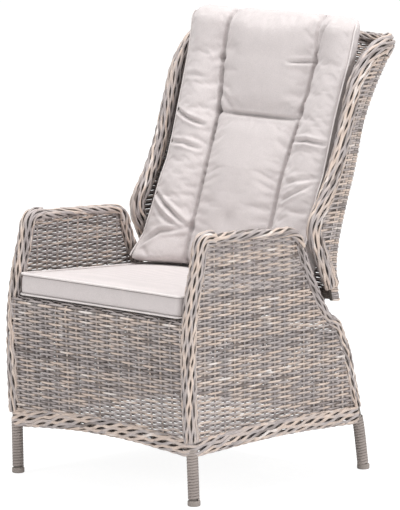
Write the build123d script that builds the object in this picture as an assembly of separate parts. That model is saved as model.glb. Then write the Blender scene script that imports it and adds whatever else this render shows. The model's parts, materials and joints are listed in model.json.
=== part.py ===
from build123d import *
import os
from math import cos, radians, sin, tan

os.makedirs("parts", exist_ok=True)

# Reclining garden armchair: woven resin over a bent tube frame, a hinged back
# with wings, a lockable gas spring under the seat, a seat cushion and a winged
# back cushion. Millimetres, +Z up, the front looks along -Y, +X is the sitter's
# left. The origin is on the floor under the middle of the chair.

# Overall sizes
chair_width = 650.0
chair_depth = 786.0
chair_height = 1147.0
arm_height = 667.0
rail_height = 440.0
back_width = 650.0

# Frame tubes
tube_radius = 11.0
tube_wall = 1.6
wing_tube_radius = 8.0
fit_gap = 0.3
wrap_hole_radius = tube_radius + fit_gap

# Woven parts
post_braid_radius = 17.0
slope_braid_radius = 16.0
arm_braid_width = 40.0
arm_braid_height = 26.0
wing_braid_width = 34.0
wing_braid_depth = 48.0
top_braid_radius = 16.0
weave_thickness = 6.0
skirt_height = 44.0
skirt_thickness = 20.0
skirt_middle_height = 144.0
skirt_corner_radius = 26.0
skirt_front_set = 10.9
front_arch = 18.0
side_arch = 9.0
side_weave_inset = 4.0
side_weave_lean = 12.0

# Legs
leg_wrap_radius = 14.0
rear_collar_radius = 18.0
rear_collar_height = 30.0
foot_radius = 16.0
foot_height = 14.0
foot_floor = 4.0
foot_edge = 3.0

# Seat
deck_thickness = 6.0
deck_side_gap = 12.0
seat_side_gap = 4.0
seat_slope = 3.3
seat_cushion_thickness = 53.4
seat_cushion_crown = 8.0
seat_cushion_corner = 16.0
seat_cushion_draw = 3.0
seat_cushion_edge = 4.0
seat_front_overhang = 3.0
seat_rear_gap = 23.0

# Back cushion
back_side_gap = 8.0
back_foot_reach = 131.0
panel_half_width = 145.0
panel_crown = 26.0
ear_crown = 20.0
crease_width = 9.0
back_cushion_thickness = 60.0
ear_side_draw = 5.0
soft_gap = 0.5
cross_bar_thickness = 4.0
cross_bar_height = 25.0
weave_slack = 1.5
top_run_length = 42.0

# Recline hinge
hinge_y = 141.0
hinge_height = 425.0
hinge_plate_thickness = 5.0
hinge_plate_width = 30.0
hinge_bracket_x = 266.0
hinge_washer_gap = 1.0
hinge_bolt_radius = 5.0
hinge_bush_radius = 7.5
running_gap = 0.05
bolt_head_radius = 9.0
bolt_head_thickness = 5.0
nut_across_flats = 16.0
nut_thickness = 8.0

# Gas spring
spring_lever = 60.0
spring_length = 271.0
spring_tube_radius = 12.0
spring_tube_length = 150.0
spring_rod_radius = 5.0
spring_eye_radius = 11.0
spring_eye_width = 12.0
spring_pin_radius = 4.0
spring_pin_play = 2.6
spring_cheek_thickness = 4.0
spring_cheek_gap = 1.0
spring_cheek_width = 20.0
spring_pin_overhang = 3.0
rod_seat_depth = 14.0
rod_start_depth = 60.0
head_length = 34.0
head_width = 22.0
valve_arm_length = 30.0
valve_arm_thickness = 4.0
valve_arm_height = 10.0
valve_pin_radius = 2.0

# Release lever
lever_set_back = 185.0
lever_height = 402.0
lever_length = 96.0
lever_width = 18.0
lever_thickness = 5.0
lever_edge = 1.6
lever_shaft_radius = 4.0
lever_plate_width = 40.0
lever_plate_thickness = 4.0
crank_length = 24.0
crank_width = 12.0
crank_thickness = 4.0
cable_radius = 3.0
cable_start_run = 32.0
cable_end_run = 42.0
cable_stop_radius = 6.0
cable_stop_length = 12.0

half_width = chair_width / 2
y_rear = chair_depth / 2
arm_centre_height = arm_height - arm_braid_height / 2
SIDES = (("left", 1), ("right", -1))


def low(share):
    """Height below the seat rails, as a share of their height."""
    return rail_height * share


def high(share):
    """Height between the seat rails and the middle of the arm."""
    return rail_height + (arm_centre_height - rail_height) * share


def up_back(share):
    """Height on the back, from the hinge to the top of the chair."""
    return hinge_height + (chair_height - hinge_height) * share


def place(shares, height):
    """Point from shares of the half width and the depth, and a height."""
    return Vector(half_width * shares[0], chair_depth * shares[1], height)


def between(start, end, share):
    return start + (end - start) * share


def mirrored(points, side):
    return [Vector(point.X * side, point.Y, point.Z) for point in points]


def bend_radii(points, run_share=0.45):
    """Largest smooth radius at each inner point of a bent path."""
    radii = []
    for before, here, after in zip(points, points[1:], points[2:]):
        turn = radians((here - before).get_angle(after - here))
        shorter = min((here - before).length, (after - here).length)
        radii.append(run_share * shorter / tan(turn / 2))
    return radii


def bent_path(points, radii=None):
    """Straight runs joined by arcs that touch them."""
    if len(points) == 2:
        return Line(*points)
    edges = []
    run_start = points[0]
    for before, here, after, radius in zip(points, points[1:], points[2:], radii or bend_radii(points)):
        arrive = (here - before).normalized()
        leave = (after - here).normalized()
        half_turn = radians(arrive.get_angle(leave)) / 2
        arc_start = here - arrive * radius * tan(half_turn)
        arc_end = here + leave * radius * tan(half_turn)
        arc_middle = here + (leave - arrive).normalized() * radius * (1 / cos(half_turn) - 1)
        edges.append(Line(run_start, arc_start).edge())
        edges.append(ThreePointArc(arc_start, arc_middle, arc_end).edge())
        run_start = arc_end
    edges.append(Line(run_start, points[-1]).edge())
    return Wire(edges)


def start_plane(path, across=(1, 0, 0)):
    return Plane(origin=path @ 0, x_dir=across, z_dir=path % 0)


def rod(path, radius):
    return sweep(start_plane(path) * Circle(radius), path=path)


def tube(path, radius, hole_radius):
    return sweep(start_plane(path) * (Circle(radius) - Circle(hole_radius)), path=path)


def frame_tube(path):
    return tube(path, tube_radius, tube_radius - tube_wall)


def cross_bar(y, height, reach, radius):
    """Solid round bar along X, as long as twice its reach."""
    bar = Cylinder(radius, 2 * reach, rotation=(0, 90, 0))
    return Pos(0, y, height) * bar


def cross_tube(y, height, reach):
    hole = cross_bar(y, height, reach, tube_radius - tube_wall)
    return cross_bar(y, height, reach, tube_radius) - hole


def pin_x(y, height, radius, start_x, end_x):
    """Round pin along X between two positions."""
    middle = (start_x + end_x) / 2
    return Pos(middle, y, height) * Cylinder(radius, abs(end_x - start_x), rotation=(0, 90, 0))


def save(name, shape):
    shape.label = name
    export_step(shape, f"parts/{name}.step")


# Side loop: front post, arm, slope, ledge and rear leg, on the +X side. Each point is
# a share of the half width, of the depth and of the height it is measured in.
foot_front_shares = (0.948, -0.462)
post_low_shares = [(0.942, -0.467, 0.327), (0.938, -0.478, 0.625), (0.935, -0.477, 0.977)]
post_high_shares = [(0.930, -0.454, 0.42), (0.925, -0.4275, 0.75), (0.918, -0.416, 1.0)]
arm_shares = [(0.922, -0.191, 0.972), (0.935, 0.015, 0.92)]
slope_high_shares = [(0.935, 0.041, 0.607), (0.938, 0.081, 0.28)]
slope_low_shares = [(0.938, 0.135, 0.977), (0.938, 0.155, 0.920)]
ledge_shares = [(0.938, 0.201, 0.882)]
leg_shares = [(0.938, 0.221, 0.800), (0.938, 0.249, 0.700), (0.938, 0.285, 0.441), (0.942, 0.312, 0.264)]
foot_rear_shares = (0.948, 0.331)


def low_points(shares):
    """Points below the seat rails."""
    return [place((x, y), low(z)) for x, y, z in shares]


def high_points(shares):
    return [place((x, y), high(z)) for x, y, z in shares]


foot_front = place(foot_front_shares, foot_floor)
foot_rear = place(foot_rear_shares, foot_floor)
post_points = [foot_front] + low_points(post_low_shares) + high_points(post_high_shares)
arm_middle, arm_rear = high_points(arm_shares)
slope_points = high_points(slope_high_shares) + low_points(slope_low_shares)
ledge_rear = low_points(ledge_shares)[0]
leg_points = low_points(leg_shares) + [foot_rear]
post_top_share = 0.2
half_share = 0.5
arm_start = between(post_points[-1], arm_middle, post_top_share)
slope_start = between(arm_rear, slope_points[0], half_share)
corner_start = between(slope_points[-1], ledge_rear, half_share)

loop_points = post_points + [arm_middle, arm_rear] + slope_points + [ledge_rear] + leg_points
loop_radii = [0.0] + bend_radii(loop_points) + [0.0]


def loop_stretch(first, last, start, end):
    """Stretch of the side loop: its corners from first to last, with its two ends."""
    corners = loop_points[first:last + 1]
    radii = loop_radii[first:last + 1]
    if start is not None:
        corners = [start] + corners
    else:
        radii = radii[1:]
    if end is not None:
        corners = corners + [end]
    else:
        radii = radii[:-1]
    return corners, radii


last_post = len(post_points) - 1
last_arm = last_post + 2
last_slope = last_arm + len(slope_points)
last_leg = len(loop_points) - 1
post_stretch = loop_stretch(0, last_post, None, arm_start)
arm_stretch = loop_stretch(last_post + 1, last_arm, arm_start, slope_start)
slope_stretch = loop_stretch(last_arm + 1, last_slope, slope_start, corner_start)
corner_stretch = loop_stretch(last_slope + 1, last_leg, corner_start, None)
leg_stretch = loop_stretch(last_arm + 1, last_leg, slope_start, None)

front_rail_y = post_points[3].Y
lever_y = front_rail_y + lever_set_back


def seat_drop(y):
    """How far the seat has sunk at a place, from the front rail backwards."""
    return (y - front_rail_y) * tan(radians(seat_slope))


def sloped(shape):
    """Shape tilted with the seat about the front rail."""
    return shape.rotate(Axis((0, front_rail_y, rail_height), (1, 0, 0)), -seat_slope)


skirt_top = skirt_middle_height + skirt_height / 2
skirt_bottom = skirt_middle_height - skirt_height / 2


def above(shape, height):
    """The part of a shape above a height."""
    reach = chair_height + chair_depth
    block = Box(reach, reach, reach, align=(Align.CENTER, Align.CENTER, Align.MIN))
    return shape & (Pos(0, 0, height) * block)


def below(shape, height):
    reach = chair_height + chair_depth
    block = Box(reach, reach, reach, align=(Align.CENTER, Align.CENTER, Align.MAX))
    return shape & (Pos(0, 0, height) * block)


post_path = {}
arm_path = {}
slope_path = {}
corner_path = {}
leg_path = {}
for name, side in SIDES:
    for paths, (corners, radii) in (
        (post_path, post_stretch),
        (arm_path, arm_stretch),
        (slope_path, slope_stretch),
        (corner_path, corner_stretch),
        (leg_path, leg_stretch),
    ):
        paths[name] = bent_path(mirrored(corners, side), radii)

post_core = {name: rod(post_path[name], post_braid_radius) for name, side in SIDES}
slope_core = {name: rod(slope_path[name], slope_braid_radius) for name, side in SIDES}
corner_core = {name: rod(corner_path[name], slope_braid_radius) for name, side in SIDES}


def arm_section(path):
    outline = Ellipse(arm_braid_width / 2, arm_braid_height / 2)
    return start_plane(path) * outline


arm_core = {name: sweep(arm_section(arm_path[name]), path=arm_path[name]) for name, side in SIDES}

for name, side in SIDES:
    save(f"front_post_{name}", frame_tube(post_path[name]))
    save(f"armrest_tube_{name}", frame_tube(arm_path[name]))
    save(f"rear_leg_{name}", frame_tube(leg_path[name]))

# Skirt: the braid that closes the weave at the bottom, on all four sides
leg_run_share = (leg_points[2].Z - skirt_middle_height) / (leg_points[2].Z - leg_points[3].Z)
skirt_front_y = post_points[1].Y - skirt_front_set
skirt_rear_y = between(leg_points[2], leg_points[3], leg_run_share).Y
skirt_side_x = half_width - skirt_thickness / 2
skirt_arch_share = 0.36
skirt_length = skirt_rear_y - skirt_front_y + skirt_thickness
skirt_y = (skirt_rear_y + skirt_front_y) / 2
skirt_outline = extrude(
    Pos(0, skirt_y, 0) * RectangleRounded(chair_width, skirt_length, skirt_corner_radius),
    amount=rail_height,
)


def arched_braid(start, end, arch):
    """Braid along a straight side whose middle is lifted by the arch."""
    lift = Vector(0, 0, arch)
    first = between(start, end, skirt_arch_share) + lift
    second = between(end, start, skirt_arch_share) + lift
    path = bent_path([start, first, second, end])
    section = RectangleRounded(skirt_thickness, skirt_height, skirt_thickness / 2 - fit_gap)
    across = (end - start).cross(Vector(0, 0, 1)).normalized()
    return sweep(start_plane(path, across) * section, path=path)


def skirt_point(x_sign, y):
    return Vector(x_sign * half_width, y, skirt_middle_height)


skirt_front = arched_braid(skirt_point(-1, skirt_front_y), skirt_point(1, skirt_front_y), front_arch)
skirt_rear = arched_braid(skirt_point(-1, skirt_rear_y), skirt_point(1, skirt_rear_y), side_arch)
skirt_front = skirt_front & skirt_outline
skirt_rear = skirt_rear & skirt_outline
side_skirt = {}
for name, side in SIDES:
    start = Vector(side * skirt_side_x, skirt_front_y, skirt_middle_height)
    end = Vector(side * skirt_side_x, skirt_rear_y, skirt_middle_height)
    side_skirt[name] = arched_braid(start, end, side_arch) - skirt_front - skirt_rear

leg_rods = [rod(path, wrap_hole_radius) for path in list(post_path.values()) + list(leg_path.values())]
for leg in leg_rods:
    skirt_front = skirt_front - leg
    skirt_rear = skirt_rear - leg
    for name, side in SIDES:
        side_skirt[name] = side_skirt[name] - leg
save("skirt_front", skirt_front)
save("skirt_rear", skirt_rear)
for name, side in SIDES:
    save(f"skirt_{name}", side_skirt[name])

skirts = [skirt_front, skirt_rear] + list(side_skirt.values())

# Braids over the side loops
for name, side in SIDES:
    post_braid = tube(post_path[name], post_braid_radius, wrap_hole_radius)
    post_braid = above(post_braid, skirt_middle_height)
    corner_braid = tube(corner_path[name], slope_braid_radius, wrap_hole_radius)
    corner_braid = above(corner_braid, skirt_middle_height)
    for skirt in skirts:
        post_braid = post_braid - skirt
        corner_braid = corner_braid - skirt
    post_braid = post_braid.solids().sort_by(SortBy.VOLUME)[-1]
    corner_braid = corner_braid.solids().sort_by(SortBy.VOLUME)[-1]
    save(f"front_post_braid_{name}", post_braid)
    save(f"rear_corner_braid_{name}", corner_braid)
    save(f"slope_braid_{name}", tube(slope_path[name], slope_braid_radius, wrap_hole_radius))
    arm_hole = rod(arm_path[name], wrap_hole_radius)
    save(f"armrest_braid_{name}", arm_core[name] - arm_hole)

# Leg wraps under the skirt and rubber feet
wraps = []
feet = []
for name, side in SIDES:
    front_wrap = tube(post_path[name], leg_wrap_radius, wrap_hole_radius)
    rear_wrap = tube(corner_path[name], leg_wrap_radius, wrap_hole_radius)
    collar = tube(corner_path[name], rear_collar_radius, wrap_hole_radius)
    collar = above(below(collar, skirt_bottom), skirt_bottom - rear_collar_height)
    rear_wrap = below(rear_wrap, skirt_bottom) + collar
    for wrap in (below(front_wrap, skirt_bottom), rear_wrap):
        wrap = above(wrap, foot_height + fit_gap)
        for skirt in skirts:
            wrap = wrap - skirt
        wraps.append(wrap.solids().sort_by(SortBy.VOLUME)[-1])
    for foot in (foot_front, foot_rear):
        cap = Pos(foot.X * side, foot.Y, 0) * Cylinder(
            foot_radius, foot_height, align=(Align.CENTER, Align.CENTER, Align.MIN)
        )
        cap = fillet(cap.edges().filter_by(GeomType.CIRCLE), foot_edge)
        feet.append(cap)
foot_rods = [rod(path, tube_radius) for path in list(post_path.values()) + list(leg_path.values())]
for foot_rod in foot_rods:
    feet = [cap - foot_rod for cap in feet]
save("leg_wraps", Compound(children=wraps))
save("foot_caps", Compound(children=[cap.solids()[0] for cap in feet]))

# Seat rails
rear_rail_y = slope_points[-2].Y - tube_radius - fit_gap
rear_rail_height = rail_height - seat_drop(rear_rail_y)
side_rail_x = post_points[3].X - post_braid_radius + tube_radius / 2
post_x = post_points[3].X
front_rail = cross_tube(front_rail_y, rail_height, post_x)
rear_rail = cross_tube(rear_rail_y, rear_rail_height, post_x)
for name, side in SIDES:
    front_rail = front_rail - post_core[name]
    rear_rail = rear_rail - slope_core[name] - corner_core[name]
front_rail = front_rail.solids().sort_by(SortBy.VOLUME)[-1]
rear_rail = rear_rail.solids().sort_by(SortBy.VOLUME)[-1]
save("front_seat_rail", front_rail)
save("rear_seat_rail", rear_rail)

front_rail_core = cross_bar(front_rail_y, rail_height, half_width, tube_radius)
rear_rail_core = cross_bar(rear_rail_y, rear_rail_height, half_width, tube_radius)
side_rail_core = {}
side_rails = []
for name, side in SIDES:
    x = side_rail_x * side
    path = Line((x, front_rail_y, rail_height), (x, rear_rail_y, rear_rail_height))
    side_rail = frame_tube(path) - front_rail_core - rear_rail_core
    side_rail = side_rail - post_core[name] - slope_core[name] - corner_core[name]
    side_rail_core[name] = rod(path, tube_radius)
    side_rails.append(side_rail.solids().sort_by(SortBy.VOLUME)[-1])
save("side_seat_rails", Compound(children=side_rails))

# Cross tube that carries the gas spring, and the top rail of the base's rear
spring_front_y = hinge_y - spring_length
spring_height = hinge_height - spring_lever
spring_tube_y = spring_front_y - spring_cheek_width / 2
spring_tube_height = rail_height - seat_drop(spring_tube_y)
spring_tube = cross_tube(spring_tube_y, spring_tube_height, side_rail_x)
for name, side in SIDES:
    spring_tube = spring_tube - side_rail_core[name]
save("spring_cross_tube", spring_tube.solids().sort_by(SortBy.VOLUME)[-1])

rear_top_share = 0.26
rear_top = between(leg_points[0], leg_points[1], rear_top_share)
rear_top_rail = cross_tube(rear_top.Y, rear_top.Z, post_x)
for name, side in SIDES:
    rear_top_rail = rear_top_rail - corner_core[name]
save("rear_top_rail", rear_top_rail.solids().sort_by(SortBy.VOLUME)[-1])

# Side weaves: curved plates inside each side loop
side_plate_low = half_width - weave_thickness - side_weave_inset
side_plate_high = post_points[-1].X + side_weave_lean
flat_loop = [Vector(0, point.Y, point.Z) for point in loop_points[1:-1]]
loop_line = bent_path(flat_loop, loop_radii[2:-2])
loop_face = Face(Wire(loop_line.edges() + [Edge.make_line(loop_line @ 1, loop_line @ 0)]))


def plate_curve(shift):
    """Side plate's run in X and Z: upright below the seat, leaning in above it."""
    foot = Vector(side_plate_low + shift, 0, 0)
    bend = Vector(side_plate_low + shift, 0, rail_height)
    head = Vector(side_plate_high + shift, 0, arm_height)
    return [Line(foot, bend), TangentArc(bend, head, tangent=(0, 0, 1))]


inner_edge = plate_curve(-weave_thickness)
outer_edge = plate_curve(0)
plate_ends = [
    Line(outer_edge[-1] @ 1, inner_edge[-1] @ 1),
    Line(inner_edge[0] @ 0, outer_edge[0] @ 0),
]
plate_face = Face(Wire([line.edge() for line in inner_edge + outer_edge + plate_ends]))
plate_slab = extrude(plate_face, amount=chair_depth / 2, dir=(0, 1, 0), both=True)
loop_prism = extrude(loop_face, amount=half_width, dir=(1, 0, 0))
side_plate = plate_slab & loop_prism
for name, side in SIDES:
    plate = side_plate if side > 0 else mirror(side_plate, about=Plane.YZ)
    for core in (post_core[name], slope_core[name], corner_core[name], arm_core[name]):
        plate = plate - core
    plate = plate - side_skirt[name] - skirt_front - skirt_rear
    for leg in leg_rods:
        plate = plate - leg
    if side < 0:
        plate = plate - pin_x(lever_y, lever_height, lever_shaft_radius + hinge_washer_gap, -half_width, 0)
    save(f"side_weave_{name}", plate.solids().sort_by(SortBy.VOLUME)[-1])

# Front weave, which leans out from the skirt and turns over the front rail to the deck
deck_front_y = front_rail_y + tube_radius
front_wrap = tube_radius + fit_gap + weave_thickness / 2
front_line = bent_path([
    Vector(0, front_rail_y, skirt_middle_height),
    Vector(0, front_rail_y - front_wrap, rail_height + front_wrap),
    Vector(0, deck_front_y, rail_height + front_wrap),
], [front_wrap])
front_section = Rectangle(2 * post_points[3].X, weave_thickness)
front_weave = sweep(start_plane(front_line) * front_section, path=front_line)
front_weave = front_weave - skirt_front - front_rail_core
for name, side in SIDES:
    front_weave = front_weave - post_core[name] - side_skirt[name]
save("front_weave", front_weave.solids().sort_by(SortBy.VOLUME)[-1])


# Rear weave of the base
def ribbon(points, thickness):
    """Face in the plane X = 0: a bent line with a thickness along Y."""
    flat = [Vector(0, point.Y, point.Z) for point in points]
    line = bent_path(flat)
    front = line.moved(Location((0, -thickness / 2, 0)))
    rear = line.moved(Location((0, thickness / 2, 0)))
    ends = [Edge.make_line(front @ 1, rear @ 1), Edge.make_line(rear @ 0, front @ 0)]
    return Face(Wire(front.edges() + rear.edges() + ends))


rear_weave_line = [rear_top] + leg_points[1:4]
rear_weave = extrude(ribbon(rear_weave_line, weave_thickness), amount=half_width, dir=(1, 0, 0), both=True)
rear_weave = above(rear_weave, skirt_middle_height)
rear_weave = rear_weave - skirt_rear - cross_bar(rear_top.Y, rear_top.Z, half_width, tube_radius)
for name, side in SIDES:
    rear_weave = rear_weave - corner_core[name] - side_skirt[name]
save("rear_weave", rear_weave.solids().sort_by(SortBy.VOLUME)[-1])

# Seat deck and seat cushion
deck_bottom = rail_height + tube_radius + fit_gap
deck_top = deck_bottom + deck_thickness
deck_rear_y = rear_rail_y + tube_radius
deck_width = 2 * (side_rail_x + tube_radius) - deck_side_gap
deck = Pos(0, (deck_front_y + deck_rear_y) / 2, deck_bottom) * Box(
    deck_width, deck_rear_y - deck_front_y, deck_thickness,
    align=(Align.CENTER, Align.CENTER, Align.MIN),
)
deck = sloped(deck)
for name, side in SIDES:
    deck = deck - post_core[name] - slope_core[name]
save("seat_deck", deck.solids().sort_by(SortBy.VOLUME)[-1])


def cushion_outline(width, length, corner, draw, height):
    """Rounded rectangle whose four sides are drawn in between the corners."""
    half_x = width / 2
    half_y = length / 2
    edges = []
    corners = [(1, 1), (-1, 1), (-1, -1), (1, -1)]
    for sign_x, sign_y in corners:
        on_side = Vector(sign_x * half_x, sign_y * (half_y - corner), height)
        on_end = Vector(sign_x * (half_x - corner), sign_y * half_y, height)
        reach = corner * (1 - sin(radians(45)))
        middle = Vector(sign_x * (half_x - reach), sign_y * (half_y - reach), height)
        first, last = (on_side, on_end) if sign_x * sign_y > 0 else (on_end, on_side)
        edges.append(ThreePointArc(first, middle, last))
    drawn = [
        Vector(0, half_y - draw, height),
        Vector(-half_x + draw, 0, height),
        Vector(0, -half_y + draw, height),
        Vector(half_x - draw, 0, height),
    ]
    outline = []
    for arc, middle, next_arc in zip(edges, drawn, edges[1:] + edges[:1]):
        outline += [arc.edge(), ThreePointArc(arc @ 1, middle, next_arc @ 0).edge()]
    return Face(Wire(outline))


cushion_bottom = deck_top + fit_gap + seat_drop(deck_front_y)
seat_cushion_width = 2 * (post_points[4].X - post_braid_radius - seat_side_gap)
seat_cushion_front = front_rail_y - seat_front_overhang
seat_cushion_rear = hinge_y - seat_rear_gap
seat_cushion_length = seat_cushion_rear - seat_cushion_front
seat_inset_shares = [(0.0, 1.0), (0.12, 0.45), (0.3, 0.1), (0.5, 0.0), (0.7, 0.1), (0.88, 0.45), (1.0, 1.0)]
sections = []
for height_share, inset_share in seat_inset_shares:
    inset = seat_cushion_edge * inset_share
    sections.append(cushion_outline(
        seat_cushion_width - 2 * inset,
        seat_cushion_length - 2 * inset,
        seat_cushion_corner,
        seat_cushion_draw,
        seat_cushion_thickness * height_share,
    ))
crown_shares = [(0.93, 0.35), (0.8, 0.65), (0.55, 0.92), (0.3, 1.0)]
for size_share, rise_share in crown_shares:
    sections.append(cushion_outline(
        seat_cushion_width * size_share,
        seat_cushion_length * size_share,
        seat_cushion_corner * size_share,
        seat_cushion_draw * size_share,
        seat_cushion_thickness + seat_cushion_crown * rise_share,
    ))
seat_cushion_y = (seat_cushion_rear + seat_cushion_front) / 2
seat_cushion = sloped(Pos(0, seat_cushion_y, cushion_bottom) * loft(sections, ruled=True))
save("seat_cushion", seat_cushion)
seat_top = cushion_bottom + seat_cushion_thickness + seat_cushion_crown

# Back frame: side tubes, wing tubes, top rail and bottom rail
back_half = back_width / 2
back_tube_x = back_half - wing_braid_width / 2
back_shares = [
    (0.190, 0.0342),
    (0.183, 0.0665),
    (0.174, 0.1565),
    (0.187, 0.2445),
    (0.222, 0.3618),
    (0.262, 0.4743),
    (0.308, 0.6552),
    (0.368, 0.7725),
    (0.430, 0.8654),
]
back_points = [Vector(back_tube_x, chair_depth * y, up_back(z)) for y, z in back_shares]
top_run = (back_points[-1] - back_points[-2]).normalized()
top_bend = back_points[-1] + top_run * top_run_length
top_y = y_rear - top_braid_radius
flat_share, flat_height_share = (0.46, 0.917)
top_points = [
    back_points[-1],
    top_bend,
    Vector(back_tube_x * flat_share, top_y, up_back(flat_height_share)),
]
top_line = top_points + list(reversed(mirrored(top_points, -1)))
wing_shares = [
    (0.128, 0.1975),
    (0.084, 0.2943),
    (0.163, 0.4107),
    (0.219, 0.5398),
    (0.254, 0.6649),
    (0.290, 0.7793),
    (0.342, 0.8510),
    (0.396, 0.8930),
]
wing_start_share = 0.2
wing_points = (
    [between(back_points[1], back_points[2], wing_start_share)]
    + [Vector(back_tube_x, chair_depth * y, up_back(z)) for y, z in wing_shares]
    + [top_bend]
)

back_path = {}
wing_path = {}
back_core = {}
back_bar_core = {}
wing_core = {}
wing_oval = Ellipse(wing_braid_width / 2, wing_braid_depth / 2)
for name, side in SIDES:
    back_path[name] = bent_path(mirrored(back_points, side))
    wing_path[name] = bent_path(mirrored(wing_points, side))
    back_core[name] = rod(back_path[name], tube_radius + fit_gap)
    back_bar_core[name] = rod(back_path[name], tube_radius)
    wing_core[name] = sweep(start_plane(wing_path[name]) * wing_oval, path=wing_path[name])
top_path = bent_path(top_line)
top_core = rod(top_path, top_braid_radius)
top_bar_core = rod(top_path, tube_radius + fit_gap)

wing_tubes = []
top_braid = tube(top_path, top_braid_radius, wrap_hole_radius)
save("back_top_rail", frame_tube(top_path))
for name, side in SIDES:
    save(f"back_side_tube_{name}", frame_tube(back_path[name]))
    wing_tube = tube(wing_path[name], wing_tube_radius, wing_tube_radius - tube_wall)
    wing_tube = wing_tube - back_core[name] - top_bar_core
    wing_tubes.append(wing_tube.solids().sort_by(SortBy.VOLUME)[-1])
    wing_hole = rod(wing_path[name], wing_tube_radius + fit_gap)
    wing_braid = wing_core[name] - back_core[name] - wing_hole - top_core
    save(f"wing_braid_{name}", wing_braid.solids().sort_by(SortBy.VOLUME)[-1])
    top_braid = top_braid - wing_hole
save("back_top_braid", top_braid.solids().sort_by(SortBy.VOLUME)[-1])
save("wing_tubes", Compound(children=wing_tubes))

# Wing weaves: a plate between the wing tube and the side tube
wing_front = [Vector(0, point.Y, point.Z) for point in wing_points]
wing_rear = [wing_front[-1]] + [Vector(0, point.Y, point.Z) for point in reversed(back_points[2:-1])]
wing_line = bent_path(wing_front)
wing_face = Face(Wire(wing_line.edges() + Polyline(*wing_rear, wing_front[0]).edges()))
wing_plate_x = back_tube_x + tube_radius - fit_gap
wing_plate = Pos(wing_plate_x - weave_thickness / 2, 0, 0) * extrude(
    wing_face, amount=weave_thickness, dir=(1, 0, 0)
)
right_plate = mirror(wing_plate, about=Plane.YZ) - wing_core["right"] - top_core - back_core["right"]
right_plate = right_plate.solids().sort_by(SortBy.VOLUME)[-1]
save("wing_weave_right", right_plate)
save("wing_weave_left", mirror(right_plate, about=Plane.YZ))

# Bottom rail of the back, back weave and cross bar
bottom_rail_y = back_points[0].Y
bottom_rail_height = back_points[0].Z + tube_radius
bottom_rail = cross_tube(bottom_rail_y, bottom_rail_height, back_tube_x)
for name, side in SIDES:
    bottom_rail = bottom_rail - back_bar_core[name] - wing_core[name]
save("back_bottom_rail", bottom_rail.solids().sort_by(SortBy.VOLUME)[-1])

weave_line = [Vector(0, bottom_rail_y, bottom_rail_height)] + back_points[1:-1] + top_points[1:]
weave_line[-1] = Vector(0, top_y, top_points[-1].Z + top_braid_radius)
weave_reach = back_tube_x - tube_radius - fit_gap
back_band = extrude(ribbon(weave_line, weave_thickness), amount=weave_reach, dir=(1, 0, 0), both=True)
arch_points = [Vector(point.X, 0, point.Z) for point in top_line]
arch_line = bent_path(arch_points)
arch_face = Face(Wire(arch_line.edges() + [
    Edge.make_line(arch_line @ 0, Vector(back_tube_x, 0, 0)),
    Edge.make_line(Vector(back_tube_x, 0, 0), Vector(-back_tube_x, 0, 0)),
    Edge.make_line(Vector(-back_tube_x, 0, 0), arch_line @ 1),
]))
arch_prism = extrude(arch_face, amount=chair_depth, dir=(0, 1, 0), both=True)
back_weave = back_band & arch_prism
back_weave = back_weave - top_core - cross_bar(bottom_rail_y, bottom_rail_height, back_half, tube_radius)
for name, side in SIDES:
    back_weave = back_weave - wing_core[name]
save("back_weave", back_weave.solids().sort_by(SortBy.VOLUME)[-1])

# Flat bar across the back, in front of its weave
bar_foot = back_points[4]
bar_head = back_points[5]
bar_spot = between(bar_foot, bar_head, half_share)
bar_plane = Plane(origin=(0, bar_spot.Y, bar_spot.Z), x_dir=(1, 0, 0), z_dir=bar_head - bar_foot)
bar_offset = weave_thickness / 2 + fit_gap + cross_bar_thickness / 2
back_bar = bar_plane * Pos(0, -bar_offset, 0) * Box(2 * back_tube_x, cross_bar_thickness, cross_bar_height)
for name, side in SIDES:
    back_bar = back_bar - back_bar_core[name]
save("back_cross_bar", back_bar.solids().sort_by(SortBy.VOLUME)[-1])


def back_weave_y(height):
    """Middle of the back weave at a height, along the straight runs of its line."""
    for lower, upper in zip(weave_line, weave_line[1:]):
        if lower.Z <= height <= upper.Z:
            return between(lower, upper, (height - lower.Z) / (upper.Z - lower.Z)).Y
    return weave_line[-1].Y


def back_cushion_section(height, rear_y, crease, edge, half):
    """Level cut of the back cushion: crowned panel, two creases, two ears, flat rear."""
    crease_y = rear_y - crease
    edge_y = rear_y - edge
    crease_in = panel_half_width - crease_width
    crease_out = panel_half_width + crease_width
    ear_x = (crease_out + half) / 2
    ear_y = (crease_y + edge_y) / 2 - ear_crown
    side_x = half - ear_side_draw
    side_y = (edge_y + rear_y) / 2
    dip_y = crease_y + crease_width

    def arc(first, middle, last):
        points = [Vector(x, y, height) for x, y in (first, middle, last)]
        return ThreePointArc(*points).edge()

    return Face(Wire([
        arc((-crease_in, crease_y), (0, crease_y - panel_crown), (crease_in, crease_y)),
        arc((crease_in, crease_y), (panel_half_width, dip_y), (crease_out, crease_y)),
        arc((crease_out, crease_y), (ear_x, ear_y), (half, edge_y)),
        arc((half, edge_y), (side_x, side_y), (half, rear_y)),
        Edge.make_line(Vector(half, rear_y, height), Vector(-half, rear_y, height)),
        arc((-half, rear_y), (-side_x, side_y), (-half, edge_y)),
        arc((-half, edge_y), (-ear_x, ear_y), (-crease_out, crease_y)),
        arc((-crease_out, crease_y), (-panel_half_width, dip_y), (-crease_in, crease_y)),
    ]))


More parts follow.
